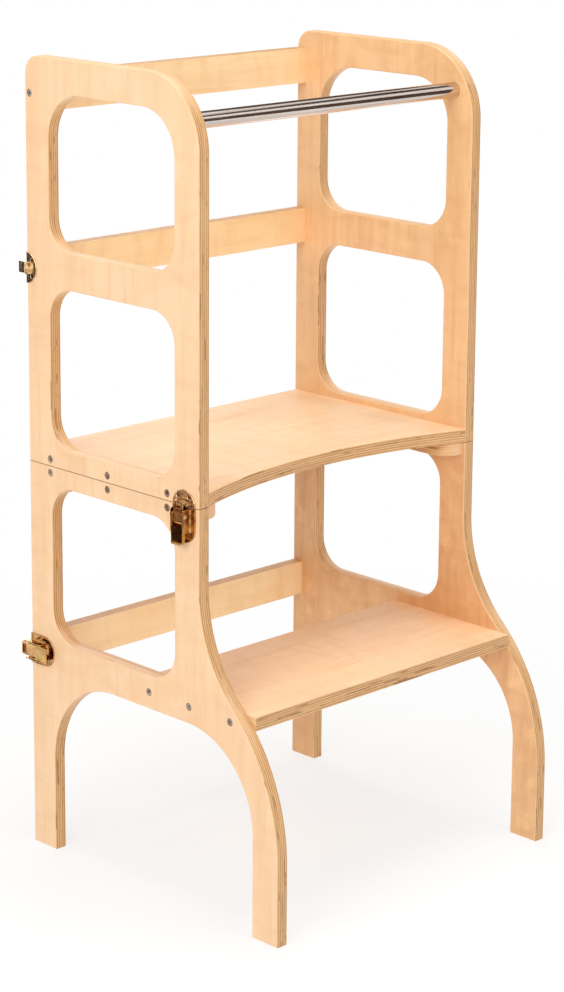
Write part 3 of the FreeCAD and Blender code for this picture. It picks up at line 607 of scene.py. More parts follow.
def upper_side(side):
    bottom = upper_low.z
    sheet = Sheet(PLY, EDGE_ROUND, side_place(side), square=flat_at(bottom))
    sheet.cut(rounded_outline([
        (0.0, bottom, 0),
        (0.0, HEIGHT, TOP_BACK_RADIUS),
        (TOP_DEPTH, HEIGHT, TOP_FRONT_RADIUS),
        (TOP_DEPTH, bottom, 0),
    ]), False)
    platform_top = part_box("standing_platform")[1].z
    sheet.cut(window(platform_top + PLATFORM_TO_WINDOW, WINDOW_BAR[0], WINDOW_RADIUS), True)
    sheet.cut(window(WINDOW_BAR[1], HEIGHT - WINDOW_MARGIN, TOP_WINDOW_RADIUS), True)
    screw_holes(sheet, ("platform_screws", "upper_slat_screws"))
    low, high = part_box("hand_rail")
    middle = (low + high) / 2
    socket_radius = (high.z - low.z) / 2 + RAIL_ROOM
    bite = high.x - INNER_X + HOLE_ROOM
    sheet.blind_hole((BACK_Y - middle.y, middle.z), socket_radius, bite, "low")
    return sheet.finish()


def lower_side(side):
    top = lower_high.z
    reach = FRONT_HOLLOW_RADIUS + FRONT_FOOT_RADIUS
    turn = math.acos(1 - (FOOT_DEPTH - TOP_DEPTH) / reach)
    foot_centre = (FOOT_DEPTH - FRONT_FOOT_RADIUS, FRONT_STRAIGHT_END - reach * math.sin(turn))
    hollow_centre = (TOP_DEPTH + FRONT_HOLLOW_RADIUS, FRONT_STRAIGHT_END)
    outline = [(0.0, 0.0), (0.0, top), (TOP_DEPTH, top)]
    outline += arc_points(hollow_centre, FRONT_HOLLOW_RADIUS, math.pi, math.pi + turn)
    outline += arc_points(foot_centre, FRONT_FOOT_RADIUS, turn, 0.0)
    outline += [(FOOT_DEPTH, 0.0)]
    inner_front = FOOT_DEPTH - LEG_WIDTH
    arch = rounded_outline([
        (inner_front, 0.0, 0),
        (inner_front, ARCH_HEIGHT, ARCH_RADIUS),
        (LEG_WIDTH, ARCH_HEIGHT, ARCH_RADIUS),
        (LEG_WIDTH, 0.0, 0),
    ])
    sheet = Sheet(PLY, EDGE_ROUND, side_place(side), square=flat_at(top))
    sheet.cut(outline + arch, False)
    sheet.cut(window(*LOW_WINDOW, WINDOW_RADIUS), True)
    screw_holes(sheet, ("batten_screws", "step_screws", "lower_slat_screws"))
    return sheet.finish()


for side, name in SIDES:
    for half, cut_side in (("upper", upper_side), ("lower", lower_side)):
        panel = weighted(object_from(cut_side(side), half + "_side_panel_" + name))
        node = half + "_side_" + name
        dressed(panel, half + "_half", side_ply[half, side], [node])


# ---- boards between the panels
def across_panels(start, end):
    """Tells the ends of a board, which butt square against the panels."""
    return abs(abs(start[0]) - INNER_X) + abs(abs(end[0]) - INNER_X) < 1e-4


def ply_board(outline, to_place, name, body, node, material):
    """Board cut from plywood: long edges rounded, ends square."""
    sheet = Sheet(PLY, EDGE_ROUND, to_place, square=across_panels)
    sheet.cut(outline, False)
    piece = weighted(object_from(sheet.finish(), name))
    dressed(piece, body, material, [node])


def lying(low):
    """(x, y) outline of a board whose lower face is at a corner's height."""
    return lambda a, b, c: Vector((a, b, low.z + c))


def standing(low):
    """(x, z) outline of a board whose front face is at a corner's depth."""
    return lambda a, b, c: Vector((a, low.y + c, b))


def straight_board(node, body, across, seed, veneers):
    low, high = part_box(node)
    if across == "Z":
        to_place, near, far, start = lying(low), low.y, high.y, low.z
    else:
        to_place, near, far, start = standing(low), low.z, high.z, low.y
    material = birch_plywood(node.replace("_", " ") + " birch", across, "X", start, seed, *veneers)
    corners = [(low.x, near), (high.x, near), (high.x, far), (low.x, far)]
    ply_board(corners, to_place, node + "_ply", body, node, material)


# board faces in shade, undersides and the hinge rail's front, take the darker veneer as painted shade
for node, body, across, seed, veneers in (
    ("step_board", "lower_half", "Z", 31.0, (SHADE_PAINTED_VENEER, PEACH)),
    ("hinge_rail", "lower_half", "Y", 33.0, (SHADE_PAINTED_VENEER, PEACH)),
    ("lower_back_slat", "lower_half", "Y", 35.0, (HONEY, PEACH)),
    ("middle_back_slat", "upper_half", "Y", 37.0, (HONEY, PEACH)),
    ("top_back_slat", "upper_half", "Y", 39.0, (HONEY, PEACH)),
):
    straight_board(node, body, across, seed, veneers)


def standing_platform():
    """Board with its front edge hollowed in one arc between the panels."""
    low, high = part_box("standing_platform")
    half = high.x
    radius = (half * half + PLATFORM_HOLLOW * PLATFORM_HOLLOW) / (2 * PLATFORM_HOLLOW)
    spread = math.asin(half / radius)
    middle = low.y + PLATFORM_HOLLOW - radius
    outline = []
    for step in range(HOLLOW_STEPS + 1):
        turn = math.pi / 2 + spread * (2 * step / HOLLOW_STEPS - 1)
        outline.append((radius * math.cos(turn), middle + radius * math.sin(turn)))
    outline += [(low.x, high.y), (high.x, high.y)]
    material = birch_plywood("platform birch", "Z", "X", low.z, 41.0, SHADE_PAINTED_VENEER, PEACH)
    ply_board(outline, lying(low), "standing_platform_board", "upper_half", "standing_platform",
              material)


def support_batten(side, name):
    node = "support_batten_" + name
    low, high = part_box(node)
    wall, free = (low.x, high.x) if side < 0 else (high.x, low.x)
    outline = rounded_outline([
        (wall, high.y, 0),
        (wall, low.y, 0),
        (free, low.y, BATTEN_CORNER),
        (free, high.y, 0),
    ])
    material = birch_plywood("batten birch " + name, "Z", "Y", low.z, 45.0 + side, SHADE_PAINTED_VENEER, SHADE_PAINTED_VENEER)
    ply_board(outline, lying(low), "support_batten_board_" + name, "lower_half", node, material)


standing_platform()
for side, name in SIDES:
    support_batten(side, name)


# ---- hand rail
def hand_rail():
    """Steel bar with chamfered ends; its middle is what the studio's cards face."""
    low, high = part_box("hand_rail")
    middle = (low + high) / 2
    start = (low.x, middle.y, middle.z)
    radius = (high.z - low.z) / 2
    bar = turned_bar(start, (1, 0, 0), radius, high.x - low.x, RAIL_CHAMFER, 72)
    rail = object_from(bar, "steel_hand_rail")
    dressed(rail, "upper_half", steel_bar, ["hand_rail"])
    return middle


rail_middle = hand_rail()


# ---- screws and rivets
def screw_tree():
    """Geometry nodes that put a screw or rivet on every point, its head outwards."""
    nodes = Nodes(bpy.data.node_groups.new("screws", "GeometryNodeTree"))
    node, calc = nodes.node, nodes.math

    def offered(label, kind, way="INPUT"):
        return nodes.tree.interface.new_socket(label, in_out=way, socket_type="NodeSocket" + kind)

    offered("Geometry", "Geometry")
    offered("Metal", "Material")
    for label, kind, value in (
        ("Head radius", "Float", 0.004), ("Top radius", "Float", 0.0038),
        ("Head height", "Float", 0.002), ("Recess size", "Float", 0.0015),
        ("Recess depth", "Float", 0.0015), ("Recess sides", "Int", 6), ("Cross", "Bool", False),
        ("Shank radius", "Float", 0.002), ("Length", "Float", 0.03), ("Seed", "Int", 3),
    ):
        offered(label, kind).default_value = value
    offered("Geometry", "Geometry", "OUTPUT")
    given = node("NodeGroupInput", {}).outputs

    def vector(**parts):
        return node("ShaderNodeCombineXYZ", parts).outputs[0]

    def lowered(mesh, drop):
        inputs = {"Geometry": mesh, "Translation": vector(Z=calc("MULTIPLY", drop, -1.0))}
        return node("GeometryNodeTransform", inputs).outputs[0]

    height, recess_size = given["Head height"], given["Recess size"]
    head = node("GeometryNodeMeshCone", {
        "Vertices": 28, "Depth": height,
        "Radius Top": given["Top radius"], "Radius Bottom": given["Head radius"],
    }, fill_type="NGON")
    head = lowered(head.outputs["Mesh"], height)
    deep = calc("MULTIPLY", given["Recess depth"], 2.0)
    hexagon = node("GeometryNodeMeshCylinder", {
        "Vertices": given["Recess sides"], "Radius": recess_size, "Depth": deep,
    }, fill_type="NGON")
    arm, slim = calc("MULTIPLY", recess_size, 2.0), calc("MULTIPLY", recess_size, 0.42)
    cross = node("GeometryNodeMeshBoolean", {}, operation="UNION", solver="EXACT")
    for first, second in ((arm, slim), (slim, arm)):
        blade = node("GeometryNodeMeshCube", {"Size": vector(X=first, Y=second, Z=deep)})
        nodes.put(cross.inputs["Mesh 2"], blade.outputs["Mesh"])
    recess = node("GeometryNodeSwitch", {
        "Switch": given["Cross"], "False": hexagon.outputs["Mesh"], "True": cross.outputs["Mesh"],
    }, input_type="GEOMETRY").outputs[0]
    cut = node("GeometryNodeMeshBoolean", {"Mesh 1": head, "Mesh 2": recess},
               operation="DIFFERENCE", solver="EXACT")
    rest = calc("SUBTRACT", given["Length"], height)
    shank = node("GeometryNodeMeshCylinder", {
        "Vertices": 16, "Radius": given["Shank radius"], "Depth": rest,
    }, fill_type="NGON")
    half_way = calc("ADD", height, calc("MULTIPLY", rest, 0.5))
    whole = node("GeometryNodeJoinGeometry", {})
    for part in (cut.outputs["Mesh"], lowered(shank.outputs["Mesh"], half_way)):
        nodes.put(whole.inputs[0], part)
    outward = node("GeometryNodeInputNamedAttribute", {"Name": "outward"},
                   data_type="FLOAT_VECTOR").outputs[0]
    facing = node("FunctionNodeAlignRotationToVector", {"Vector": outward}, axis="Z").outputs[0]
    turn = node("FunctionNodeRandomValue", {2: 0.0, 3: math.pi, "Seed": given["Seed"]},
                data_type="FLOAT").outputs[1]
    spread = node("GeometryNodeInstanceOnPoints", {
        "Points": given["Geometry"], "Instance": whole.outputs[0], "Rotation": facing,
    }).outputs[0]
    spun = node("GeometryNodeRotateInstances", {"Instances": spread, "Rotation": vector(Z=turn)})
    real = node("GeometryNodeRealizeInstances", {"Geometry": spun.outputs[0]}).outputs[0]
    last = node("GeometryNodeSetMaterial", {"Geometry": real, "Material": given["Metal"]})
    node("NodeGroupOutput", {0: last.outputs[0]})
    return nodes.tree


SCREWS = screw_tree()


def screws_on(name, points, body, metal, replaced, sizes):
    """One mesh of screws on (place, outward) points, made by the geometry nodes."""
    mesh = bpy.data.meshes.new(name + "_points")
    mesh.from_pydata([place for place, _ in points], [], [])
    outward = mesh.attributes.new("outward", "FLOAT_VECTOR", "POINT")
    outward.data.foreach_set("vector", [value for _, way in points for value in way])
    source = linked(name + "_points", mesh)
    modifier = source.modifiers.new("screws", "NODES")
    modifier.node_group = SCREWS
    wanted = {**sizes, "Metal": metal}
    for item in SCREWS.interface.items_tree:
        if item.in_out == "INPUT" and item.name in wanted:
            modifier[item.identifier] = wanted[item.name]
    evaluated = source.evaluated_get(bpy.context.evaluated_depsgraph_get())
    piece = linked(name, bpy.data.meshes.new_from_object(evaluated))
    bpy.data.objects.remove(source)
    dressed(piece, body, metal, replaced)


def screws_of(node, ending, body, metal, sizes):
    """Screws in the places and at the length of a node's own, their heads outwards."""
    marks = screw_marks(node)
    points = []
    for low, high in marks:
        middle = (low + high) / 2
        if high.y - low.y > high.x - low.x:
            points.append(((middle.x, high.y, middle.z), (0, 1, 0)))
        else:
            side = math.copysign(1, middle.x)
            points.append(((high.x if side > 0 else low.x, middle.y, middle.z), (side, 0, 0)))
    low, high = marks[0]
    screws_on(node + ending, points, body, metal, [node],
              {**sizes, "Length": max(high - low), "Seed": len(node)})


WOOD_SCREW = {
    "Head radius": SCREW_HEAD, "Top radius": 0.0037, "Head height": 0.0024,
    "Recess size": 0.0019, "Recess depth": 0.0017, "Shank radius": 0.0023,
}
SMALL_SCREW = {
    "Head radius": 0.0016, "Top radius": 0.0027, "Head height": 0.0013, "Cross": True,
    "Recess size": 0.0014, "Recess depth": 0.0009, "Shank radius": 0.0012,
}
RIVET = {
    "Head radius": 0.0026, "Top radius": 0.0015, "Head height": 0.0009, "Recess sides": 16,
    "Recess size": 0.0005, "Recess depth": 0.00025, "Shank radius": 0.00148,
    "Length": 0.0036, "Seed": 9,
}
for body, places in (
    ("lower_half", ("batten", "step", "lower_slat", "hinge_rail")),
    ("upper_half", ("platform", "upper_slat")),
):
    for place in places:
        screws_of(place + "_screws", "_sockets", body, dark_steel, WOOD_SCREW)
for place, body in (
    ("latch_base", "lower_half"), ("latch_keeper", "upper_half"),
    ("hinge_lower", "lower_half"), ("hinge_upper", "upper_half"),
):
    screws_of(place + "_screws", "_crosses", body, bright_steel, SMALL_SCREW)


# ---- latches
# u runs from the parting plane towards the keeper, w across and n outwards.
LATCH_WIDTH = 0.035
LATCH_LENGTH = 0.04
PLATE = 0.0015
SHEET = 0.0012
PLATE_START = 0.0005
PLATE_SOFT = 0.00055
SOFT = 0.00025
TUBE_SOFT = 0.0002
SHARP = 0.00001
LAPPED = 0.0003
SCREW_OPENING = 0.00275
BASE_SCREW = (-0.0325, 0.0095)
KEEPER_SCREW = (0.0105, 0.0085)
KEEPER_STEPS = 16
EAR = (0.0091, 0.0103)
EAR_FRONT, EAR_BACK, EAR_TOP = -0.0015, -0.0275, 0.0115
EAR_CORNER = 0.0018
EAR_SOFT = 0.00045
BEND = 0.0022
BEND_STEPS = 8
ROOT_START, ROOT_LENGTH = -0.027, 0.025
ROOT_LAPPED, ROOT_SUNK = 0.0004, 0.0008
PIVOT = (-0.009, 0.0085)
CHEEK = (0.0076, 0.0088)
CHEEK_ROOM = 0.0001
CHEEK_REACH = 0.0032
CHEEK_LOW = 0.0042
CHEEK_UNDER, CHEEK_TAPER = 0.0002, 0.003
CHEEK_CORNERS = (0.0018, 0.001, 0.0015)
LEVER_TOP = 0.0114
FINGER_START = -0.0206
FINGER_BEND, FINGER_RISE = 0.003, 0.0014
TIP_RADIUS = 0.0035
CUT_PAST = 0.001
CUT_LOW, CUT_HEIGHT = 0.005, 0.01
CLAW_PIN = (-0.016, 0.007)
CLAW_PIN_RADIUS = 0.0011
CLAW_HALF = 0.0072
CLAW_TOP = 0.00938
CLAW_REACH = 0.0072
CLAW_LIP_LOW = 0.0036
CLAW_BEND = 0.0011
CLAW_EYE = (0.00238, 0.00118)
CLAW_WINDOW = [(-0.001, -0.005), (0.005, -0.005), (0.005, 0.005), (-0.001, 0.005)]
TAB = (0.0043, 0.0055)
TAB_HALF = 0.0065
TAB_TOP = 0.00768
TAB_CORNER = 0.0016
TAB_SOFT = 0.0004
TONGUE_END, TONGUE_LOW = -0.0102, 0.00185
TONGUE_ROOM = 0.0002
RIVET_TOP = 0.0112


def latch_matrix(origin, towards, out):
    """From a latch's (u, w, n) to the shared frame."""
    return frame_matrix(towards, out.cross(towards), out, origin)


def latch_frames():
    fold = [joint for joint in frame["joints"] if joint["name"] == "fold"][0]["pos_m"]
    frames = {}
    for side, name in SIDES:
        for spot in ("front_", "rear_"):
            low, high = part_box("latch_base_" + spot + name)
            origin = (low + high) / 2
            origin.x = side * OUTER_X
            if spot == "front_":
                origin.z, towards = JOINT, Vector((0, 0, 1))
            else:
                origin.y, towards = fold[1], Vector((0, 1, 0))
            frames[spot + name] = latch_matrix(origin, towards, Vector((side, 0, 0)))
    return frames


def keeper_frame(spot, latch):
    """A keeper shares its latch's frame; a rear one is drawn where it stands on the upper half."""
    if spot.startswith("front"):
        return latch
    low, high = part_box("latch_keeper_" + spot)
    origin = Vector((latch.translation.x, latch.translation.y, (low.z + high.z) / 2))
    return latch_matrix(origin, Vector((0, -1, 0)), latch.col[2].to_3d())


def face_on(place, start=0.0):
    """(u, w) outline with its thickness outwards from start."""
    return lambda a, b, c: place @ Vector((a, b, start + c))


def side_on(place, start):
    """(u, n) outline with its thickness across from start."""
    return lambda a, b, c: place @ Vector((a, start + c, b))


def end_on(place, start):
    """(w, n) outline with its thickness towards the keeper from start."""
    return lambda a, b, c: place @ Vector((start + c, a, b))


def small_sheet(outline, thickness, to_place, openings=(), rounding=SOFT, steps=3):
    sheet = Sheet(thickness, rounding, to_place, steps)
    sheet.cut(outline, False)
    for opening in openings:
        sheet.cut(opening, True)
    return sheet.finish()


def pair(outline, across, place, rounding):
    """Two upright (u, n) sheets between two distances from a latch's middle."""
    near, far = across
    return [
        small_sheet(outline, far - near, side_on(place, start), rounding=rounding)
        for start in (near, -far)
    ]


def plain_block(outline, thickness, to_place):
    """Sheet with sharp rims, for a root or as a cutter."""
    return small_sheet(outline, thickness, to_place, rounding=SHARP, steps=1)


def tube(start, along, radius, bore, length, count=32):
    """Closed round sleeve."""
    return turned_piece(start, along, [
        (0.0, bore), (0.0, radius - TUBE_SOFT), (TUBE_SOFT, radius),
        (length - TUBE_SOFT, radius), (length, radius - TUBE_SOFT), (length, bore),
    ], count, sleeve=True)


def screw_openings(along, across):
    """Pair of screw holes in a plate, either side of its middle line."""
    return [circle((along, sign * across), SCREW_OPENING) for sign in (-1, 1)]


def united(name, meshes, cutters=()):
    """One closed object of several overlapping closed meshes, less the cutters."""
    first = object_from(meshes[0], name)
    helpers = []
    for others, operation in ((meshes[1:], "UNION"), (cutters, "DIFFERENCE")):
        for other in others:
            helper = object_from(other, name + "_helper")
            modifier = first.modifiers.new(operation.lower(), "BOOLEAN")
            modifier.operation = operation
            modifier.solver = "EXACT"
            modifier.object = helper
            helpers.append(helper)
    evaluated = first.evaluated_get(bpy.context.evaluated_depsgraph_get())
    whole = bmesh.new()
    made = bpy.data.meshes.new_from_object(evaluated)
    whole.from_mesh(made)
    bpy.data.meshes.remove(made)
    for helper in helpers + [first]:
        bpy.data.objects.remove(helper)
    return weighted(object_from(whole, name, math.radians(40)))


def upright(start, end, top, corner):
    """Outline that stands on the plate, its two upper corners rounded."""
    return rounded_outline([
        (start, LAPPED, 0), (start, top, corner), (end, top, corner), (end, LAPPED, 0),
    ])


def ear_root(sign):
    """(w, n) outline of the hollow corner where an ear is bent up from the plate."""
    inner, outer = sign * (EAR[0] + ROOT_LAPPED), sign * (EAR[1] + BEND)
    bottom = PLATE - ROOT_SUNK
    outline = [(inner, bottom), (outer, bottom)]
    for step in range(BEND_STEPS + 1):
        turn = math.pi / 2 * step / BEND_STEPS
        across = outer - sign * BEND * math.sin(turn)
        outline.append((across, PLATE + BEND * (1 - math.cos(turn))))
    return outline + [(inner, PLATE + BEND)]


def latch_base(spot, place):
    """Plate with a straight edge, a half-round far end and two ears bent up from it."""
    radius = LATCH_WIDTH / 2
    middle = (radius - LATCH_LENGTH, 0.0)
    outline = [(-PLATE_START, -radius)]
    outline += arc_points(middle, radius, -math.pi / 2, -3 * math.pi / 2)
    outline += [(-PLATE_START, radius)]
    ear = upright(EAR_FRONT, EAR_BACK, EAR_TOP, EAR_CORNER)
    parts = [small_sheet(outline, PLATE, face_on(place), screw_openings(*BASE_SCREW), PLATE_SOFT)]
    parts += pair(ear, EAR, place, EAR_SOFT)
    for sign in (-1, 1):
        parts.append(plain_block(ear_root(sign), ROOT_LENGTH, end_on(place, ROOT_START)))
    piece = united("latch_base_plate_" + spot, parts)
    dressed(piece, "lower_half", brass, ["latch_base_" + spot])


def latch_keeper(spot, place):
    """Half-round plate with the tab that the claw holds and a guide tongue below the claw."""
    radius = LATCH_WIDTH / 2
    spread = math.acos(PLATE_START / radius)
    turns = [spread * (step / KEEPER_STEPS - 1) for step in range(2 * KEEPER_STEPS + 1)]
    outline = [(radius * math.cos(turn), radius * math.sin(turn)) for turn in turns]
    tab = upright(-TAB_HALF, TAB_HALF, TAB_TOP, TAB_CORNER)
    inside_tab = TAB[1] - 2 * TONGUE_ROOM
    inside_plate = PLATE_START + LAPPED
    tongue = [
        (inside_tab, PLATE - LAPPED), (inside_plate, PLATE - LAPPED),
        (inside_plate, TONGUE_LOW), (TONGUE_END, TONGUE_LOW),
        (TONGUE_END, TONGUE_LOW + SHEET), (inside_tab, TONGUE_LOW + SHEET),
    ]
    half = TAB_HALF - TONGUE_ROOM
    parts = [
        small_sheet(outline, PLATE, face_on(place), screw_openings(*KEEPER_SCREW), PLATE_SOFT),
        small_sheet(tab, TAB[1] - TAB[0], end_on(place, TAB[0]), rounding=TAB_SOFT),
        small_sheet(tongue, 2 * half, side_on(place, -half)),
    ]
    piece = united("latch_keeper_hook_" + spot, parts)
    dressed(piece, "upper_half", keeper_brass, ["latch_keeper_" + spot])


def tip_corner(sign):
    """(u, w) outline of what rounding takes from a corner of the finger plate."""
    middle = (TIP_RADIUS - LATCH_LENGTH, sign * (CHEEK[1] - TIP_RADIUS))
    past_end, past_side = -LATCH_LENGTH - CUT_PAST, sign * (CHEEK[1] + CUT_PAST)
    arc = arc_points(middle, TIP_RADIUS, math.pi, math.pi - sign * math.pi / 2)
    return arc + [(middle[0], past_side), (past_end, past_side), (past_end, middle[1])]


def latch_lever(spot, place):
    """Two cheeks below a finger plate with a raised tip, and the pin of the claw."""
    nose = PIVOT[0] + CHEEK_REACH
    upper = LEVER_TOP - CHEEK_UNDER
    tail = LAPPED - LATCH_LENGTH
    at_nose, at_tail, below = CHEEK_CORNERS
    cheek = rounded_outline([
        (nose, PIVOT[1] - CHEEK_REACH, at_nose), (nose, upper, at_nose),
        (tail, upper, 0), (tail, LEVER_TOP - CHEEK_TAPER, at_tail),
        (CLAW_PIN[0] - CHEEK_REACH, CHEEK_LOW, below), (PIVOT[0] - CHEEK_REACH, CHEEK_LOW, below),
    ])
    bend = FINGER_BEND - LATCH_LENGTH
    raised = LEVER_TOP + FINGER_RISE
    finger = [
        (FINGER_START, LEVER_TOP - SHEET), (FINGER_START, LEVER_TOP), (bend, LEVER_TOP),
        (-LATCH_LENGTH, raised), (-LATCH_LENGTH, raised - SHEET), (bend, LEVER_TOP - SHEET),
    ]
    parts = [small_sheet(finger, 2 * CHEEK[1], side_on(place, -CHEEK[1]))]
    parts += pair(cheek, [across - CHEEK_ROOM for across in CHEEK], place, SOFT)
    corners = [
        plain_block(tip_corner(sign), CUT_HEIGHT, face_on(place, CUT_LOW)) for sign in (-1, 1)
    ]
    piece = united("latch_lever_handle_" + spot, parts, corners)
    body = "lever_" + spot
    metal = bowed_brass if spot.startswith("front") else lever_brass
    dressed(piece, body, metal, ["latch_lever_" + spot])

    start, end = [place @ Vector((CLAW_PIN[0], w, CLAW_PIN[1])) for w in (-CHEEK[1], CHEEK[1])]
    along = end - start
    bar = turned_bar(start, along, CLAW_PIN_RADIUS, along.length, TUBE_SOFT, 24)
    pin = object_from(bar, "latch_claw_axle_" + spot)
    dressed(pin, body, bright_steel, ["latch_claw_pin_" + spot])


def latch_claw(spot, place):
    """Claw with an eye round its pin, a window and a lip that reaches behind the tab."""
    under, inside_lip = CLAW_TOP - SHEET, CLAW_REACH - SHEET
    section = rounded_outline([
        (CLAW_PIN[0], under, 0), (CLAW_PIN[0], CLAW_TOP, 0),
        (CLAW_REACH, CLAW_TOP, CLAW_BEND), (CLAW_REACH, CLAW_LIP_LOW, 0),
        (inside_lip, CLAW_LIP_LOW, 0), (inside_lip, under, 0),
    ])
    plate = small_sheet(section, 2 * CLAW_HALF, side_on(place, -CLAW_HALF))
    start = place @ Vector((CLAW_PIN[0], -CLAW_HALF, CLAW_PIN[1]))
    eye = tube(start, place.col[1].to_3d(), *CLAW_EYE, 2 * CLAW_HALF)
    opening = plain_block(CLAW_WINDOW, CUT_HEIGHT, face_on(place, CUT_LOW))
    piece = united("latch_claw_hook_" + spot, [plate, eye], [opening])
    dressed(piece, "claw_" + spot, claw_brass, ["latch_claw_" + spot])


rivets = []
for spot, place in latch_frames().items():
    latch_base(spot, place)
    latch_keeper(spot, keeper_frame(spot, place))
    latch_lever(spot, place)
    latch_claw(spot, place)
    for sign in (-1, 1):
        top = place @ Vector((PIVOT[0], sign * RIVET_TOP, PIVOT[1]))
        rivets.append((top, place.col[1].to_3d() * sign))
screws_on("latch_pivot_rivet_heads", rivets, "lower_half", bright_steel,
          ["latch_pivot_rivets"], RIVET)


# ---- hinges
HINGE_HALF = 0.03
LEAF_NEAR, LEAF_FAR = 0.0003, 0.0143
HINGE_SCREW_OUT, HINGE_SCREW_UP = 0.02, 0.0078
KNUCKLE = 0.003
KNUCKLE_GAP = 0.00035
KNUCKLE_BORE = 0.0016
HINGE_PIN = (0.0015, SHARP)
ALONG_X = Vector((1, 0, 0))


def hinge_leaf(name, upper):
    """Leaf with its rolled knuckles: one in the middle on the upper leaf, two on the lower."""
    leaf = "hinge_upper_leaf_" if upper else "hinge_lower_leaf_"
    low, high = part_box(leaf + name)
    middle = (low.x + high.x) / 2
    pin_low, pin_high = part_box("hinge_pins")
    axis = Vector((middle, (pin_low.y + pin_high.y) / 2, JOINT))
    sign = 1 if upper else -1
    near, far = JOINT + sign * LEAF_NEAR, JOINT + sign * LEAF_FAR
    clear = JOINT + sign * (KNUCKLE + KNUCKLE_GAP)
    third = HINGE_HALF / 3
    gap = KNUCKLE_GAP / 2
    if upper:
        inner = third - gap
        spans = [(-inner, inner)]
        outline = [
            (-inner, near), (inner, near), (inner, clear), (HINGE_HALF, clear),
            (HINGE_HALF, far), (-HINGE_HALF, far), (-HINGE_HALF, clear), (-inner, clear),
        ]
    else:
        inner = third + gap
        spans = [(-HINGE_HALF, -inner), (inner, HINGE_HALF)]
        outline = [
            (-HINGE_HALF, near), (-inner, near), (-inner, clear), (inner, clear),
            (inner, near), (HINGE_HALF, near), (HINGE_HALF, far), (-HINGE_HALF, far),
        ]
    row = JOINT + sign * HINGE_SCREW_UP
    holes = [circle((end * HINGE_SCREW_OUT, row), SCREW_OPENING) for end in (-1, 1)]

    def to_place(a, b, c):
        return Vector((middle + a, low.y + c, b))

    parts = [small_sheet(outline, PLATE, to_place, holes)]
    for start, end in spans:
        parts.append(tube(axis + ALONG_X * start, ALONG_X, KNUCKLE, KNUCKLE_BORE, end - start))
    piece = united(leaf.replace("leaf_", "wing_") + name, parts)
    dressed(piece, "upper_half" if upper else "lower_half", hinge_brass,
            [leaf + name])
    return axis


pins = []
for _, name in SIDES:
    hinge_leaf(name, True)
    axis = hinge_leaf(name, False)
    pins.append(tube(axis - ALONG_X * HINGE_HALF, ALONG_X, *HINGE_PIN, 2 * HINGE_HALF, 24))
dressed(united("hinge_axle_pair", pins), "lower_half", bright_steel,
        ["hinge_pins"])


# ---- the same finishes on the CAD's own nodes
SLOT_MATERIALS = {
    "birch_plywood": side_ply["lower", 1],
    "brushed_rail": steel_bar,
    "wood_screw_steel": dark_steel,
    "bright_screw_steel": bright_steel,
    "latch_brass": brass,
    "lever_brass": lever_brass,
    "hinge_brass": hinge_brass,
}
for part in frame["record"]["subparts"]:
    node = frame["nodes"][part["node"]]
    node.data.materials.clear()
    node.data.materials.append(SLOT_MATERIALS[part["material_slot"]])


# ---- floor, light, camera
def flat_card(name, width, height):
    """Flat sheet with its middle at its origin."""
    right, top = width / 2, height / 2
    mesh = bpy.data.meshes.new(name)
    mesh.from_pydata([(-right, -top, 0), (right, -top, 0), (right, top, 0), (-right, top, 0)],
                     [], [(0, 1, 2, 3)])
    return linked(name, mesh)


def aimed(thing, place, target, axis):
    """Stand a card or lamp in its place, an axis of it towards the target."""
    thing.location = place
    thing.rotation_euler = (Vector(target) - Vector(place)).to_track_quat(axis, "Y").to_euler()


def pale_floor():
    """Floor that takes a soft shadow near the object and fades to pure white around it."""
    floor = flat_card("floor", 60.0, 60.0)
    shader = Shader("pale floor")
    shader.surface({"Base Color": (0.93, 0.93, 0.93), "Roughness": 0.9, "Specular IOR Level": 0.0})
    glow = shader.node("ShaderNodeEmission", {"Color": (1.0, 1.0, 1.0)})
    distance = shader.node("ShaderNodeVectorMath", {0: shader.place}, operation="LENGTH")
    blend = shader.node("ShaderNodeMixShader", {
        0: shader.remap(distance.outputs["Value"], 0.2, 1.1, 0.7, 1.0),
        1: shader.bsdf.outputs[0], 2: glow.outputs[0],
    })
    shader.put(shader.output.inputs["Surface"], blend.outputs[0])
    floor.data.materials.append(shader.material)


def surroundings():
    """Soft warm light for the object, pure white for the camera and in reflections."""
    world = bpy.data.worlds.new("studio")
    bpy.context.scene.world = world
    world.use_nodes = True
    nodes = Nodes(world.node_tree)
    nodes.tree.nodes.clear()
    soft = nodes.node("ShaderNodeBackground", {"Color": (1.0, 0.985, 0.97), "Strength": 0.44})
    white = nodes.node("ShaderNodeBackground", {"Color": (1.0, 1.0, 1.0), "Strength": 1.0})
    rays = nodes.node("ShaderNodeLightPath", {}).outputs
    seen = nodes.math("MAXIMUM", rays["Is Camera Ray"], rays["Is Glossy Ray"])
    seen = nodes.math("MAXIMUM", seen, rays["Is Transmission Ray"])
    choose = nodes.node("ShaderNodeMixShader", {0: seen, 1: soft.outputs[0], 2: white.outputs[0]})
    nodes.node("ShaderNodeOutputWorld", {"Surface": choose.outputs[0]})


def painted_reflection_card(name, place, target, width, height, shade):
    """Glowing card that only glossy rays see: a painted reflection, dark or brown, on the polished metal it is
    aimed at.
    """
    card = flat_card(name, width, height)
    aimed(card, place, target, "Z")
    shader = Shader(name)
    glow = shader.node("ShaderNodeEmission", {"Color": shade})
    shader.put(shader.output.inputs["Surface"], glow.outputs[0])
    card.data.materials.append(shader.material)
    for rays in ("camera", "diffuse", "transmission", "shadow"):
        setattr(card, "visible_" + rays, False)


def lamp(name, place, target, size, power):
    data = bpy.data.lights.new(name, "AREA")
    data.shape = "SQUARE"
    data.size = size
    data.energy = power
    aimed(linked(name, data), place, target, "-Z")


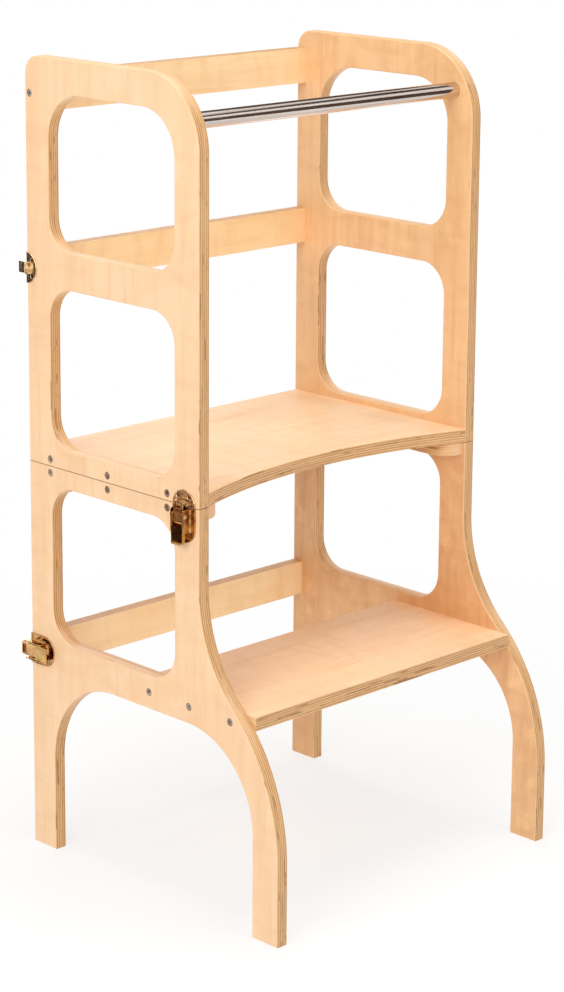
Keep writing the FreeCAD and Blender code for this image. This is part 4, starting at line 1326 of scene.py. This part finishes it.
CAMERA_PLACE = Vector((-2.03928, -2.06764, 1.21644))
CAMERA_AZIMUTH = math.radians(-44.422)
CAMERA_RISE = math.radians(12.563)
CAMERA_ROLL = math.radians(-0.423)
CAMERA_LENS = 97.79
CAMERA_SENSOR = 36.0
CAMERA_SHIFT = -0.14266


def camera():
    """Camera at the photograph's angle, its axis above the middle of the frame."""
    level = math.cos(CAMERA_RISE)
    back = Vector((math.sin(CAMERA_AZIMUTH) * level, -math.cos(CAMERA_AZIMUTH) * level,
                   math.sin(CAMERA_RISE)))
    right = (-back).cross(Vector((0, 0, 1))).normalized()
    up = right.cross(-back)
    tilted_right = right * math.cos(CAMERA_ROLL) - up * math.sin(CAMERA_ROLL)
    tilted_up = right * math.sin(CAMERA_ROLL) + up * math.cos(CAMERA_ROLL)
    data = bpy.data.cameras.new("camera")
    data.lens = CAMERA_LENS
    data.sensor_width = CAMERA_SENSOR
    data.shift_y = CAMERA_SHIFT
    data.clip_end = 100.0
    view = linked("camera", data)
    view.matrix_world = frame_matrix(tilted_right, tilted_up, back, CAMERA_PLACE)
    bpy.context.scene.camera = view


pale_floor()
surroundings()
lamp("key", (-3.0, -0.9, 1.9), (0, 0, 0.45), 2.0, 50.0)
lamp("front", (0.0, -3.1, 1.6), (0, 0, 0.45), 1.8, 23.0)
lamp("top", (0.0, 0.0, 3.2), (0, 0, 0.4), 1.6, 45.0)
lamp("back", (1.6, 2.9, 1.7), (0, 0, 0.45), 1.6, 12.0)
# painted reflections: each card faces the rail or one latch part, and its glow sets the colour that part reflects
for card in (
    ("front card", (1.09, -1.22, 0.84), rail_middle, 1.3, 0.9, (0.075, 0.046, 0.034)),
    ("high card", (1.09, -0.6, 1.88), rail_middle, 1.3, 0.36, (0.06, 0.04, 0.031)),
    ("back card", (1.0, 1.0, 1.72), rail_middle, 1.3, 1.3, (0.1, 0.075, 0.062)),
    ("claw card", (-0.87, 0.55, 0.347), (-0.24, -0.08, 0.347), 0.4, 0.33, (0.46, 0.26, 0.17)),
    ("finger card", (-0.88, 0.54, 0.0915), (-0.25, -0.09, 0.0915), 0.42, 0.178,
     (0.035, 0.014, 0.009)),
    ("keeper card", (-0.84, 0.85, 0.5), (-0.22, 0.22, 0.5), 0.36, 0.3, (0.03, 0.018, 0.012)),
):
    painted_reflection_card(*card)
camera()
bpy.context.scene.view_settings.view_transform = "Standard"
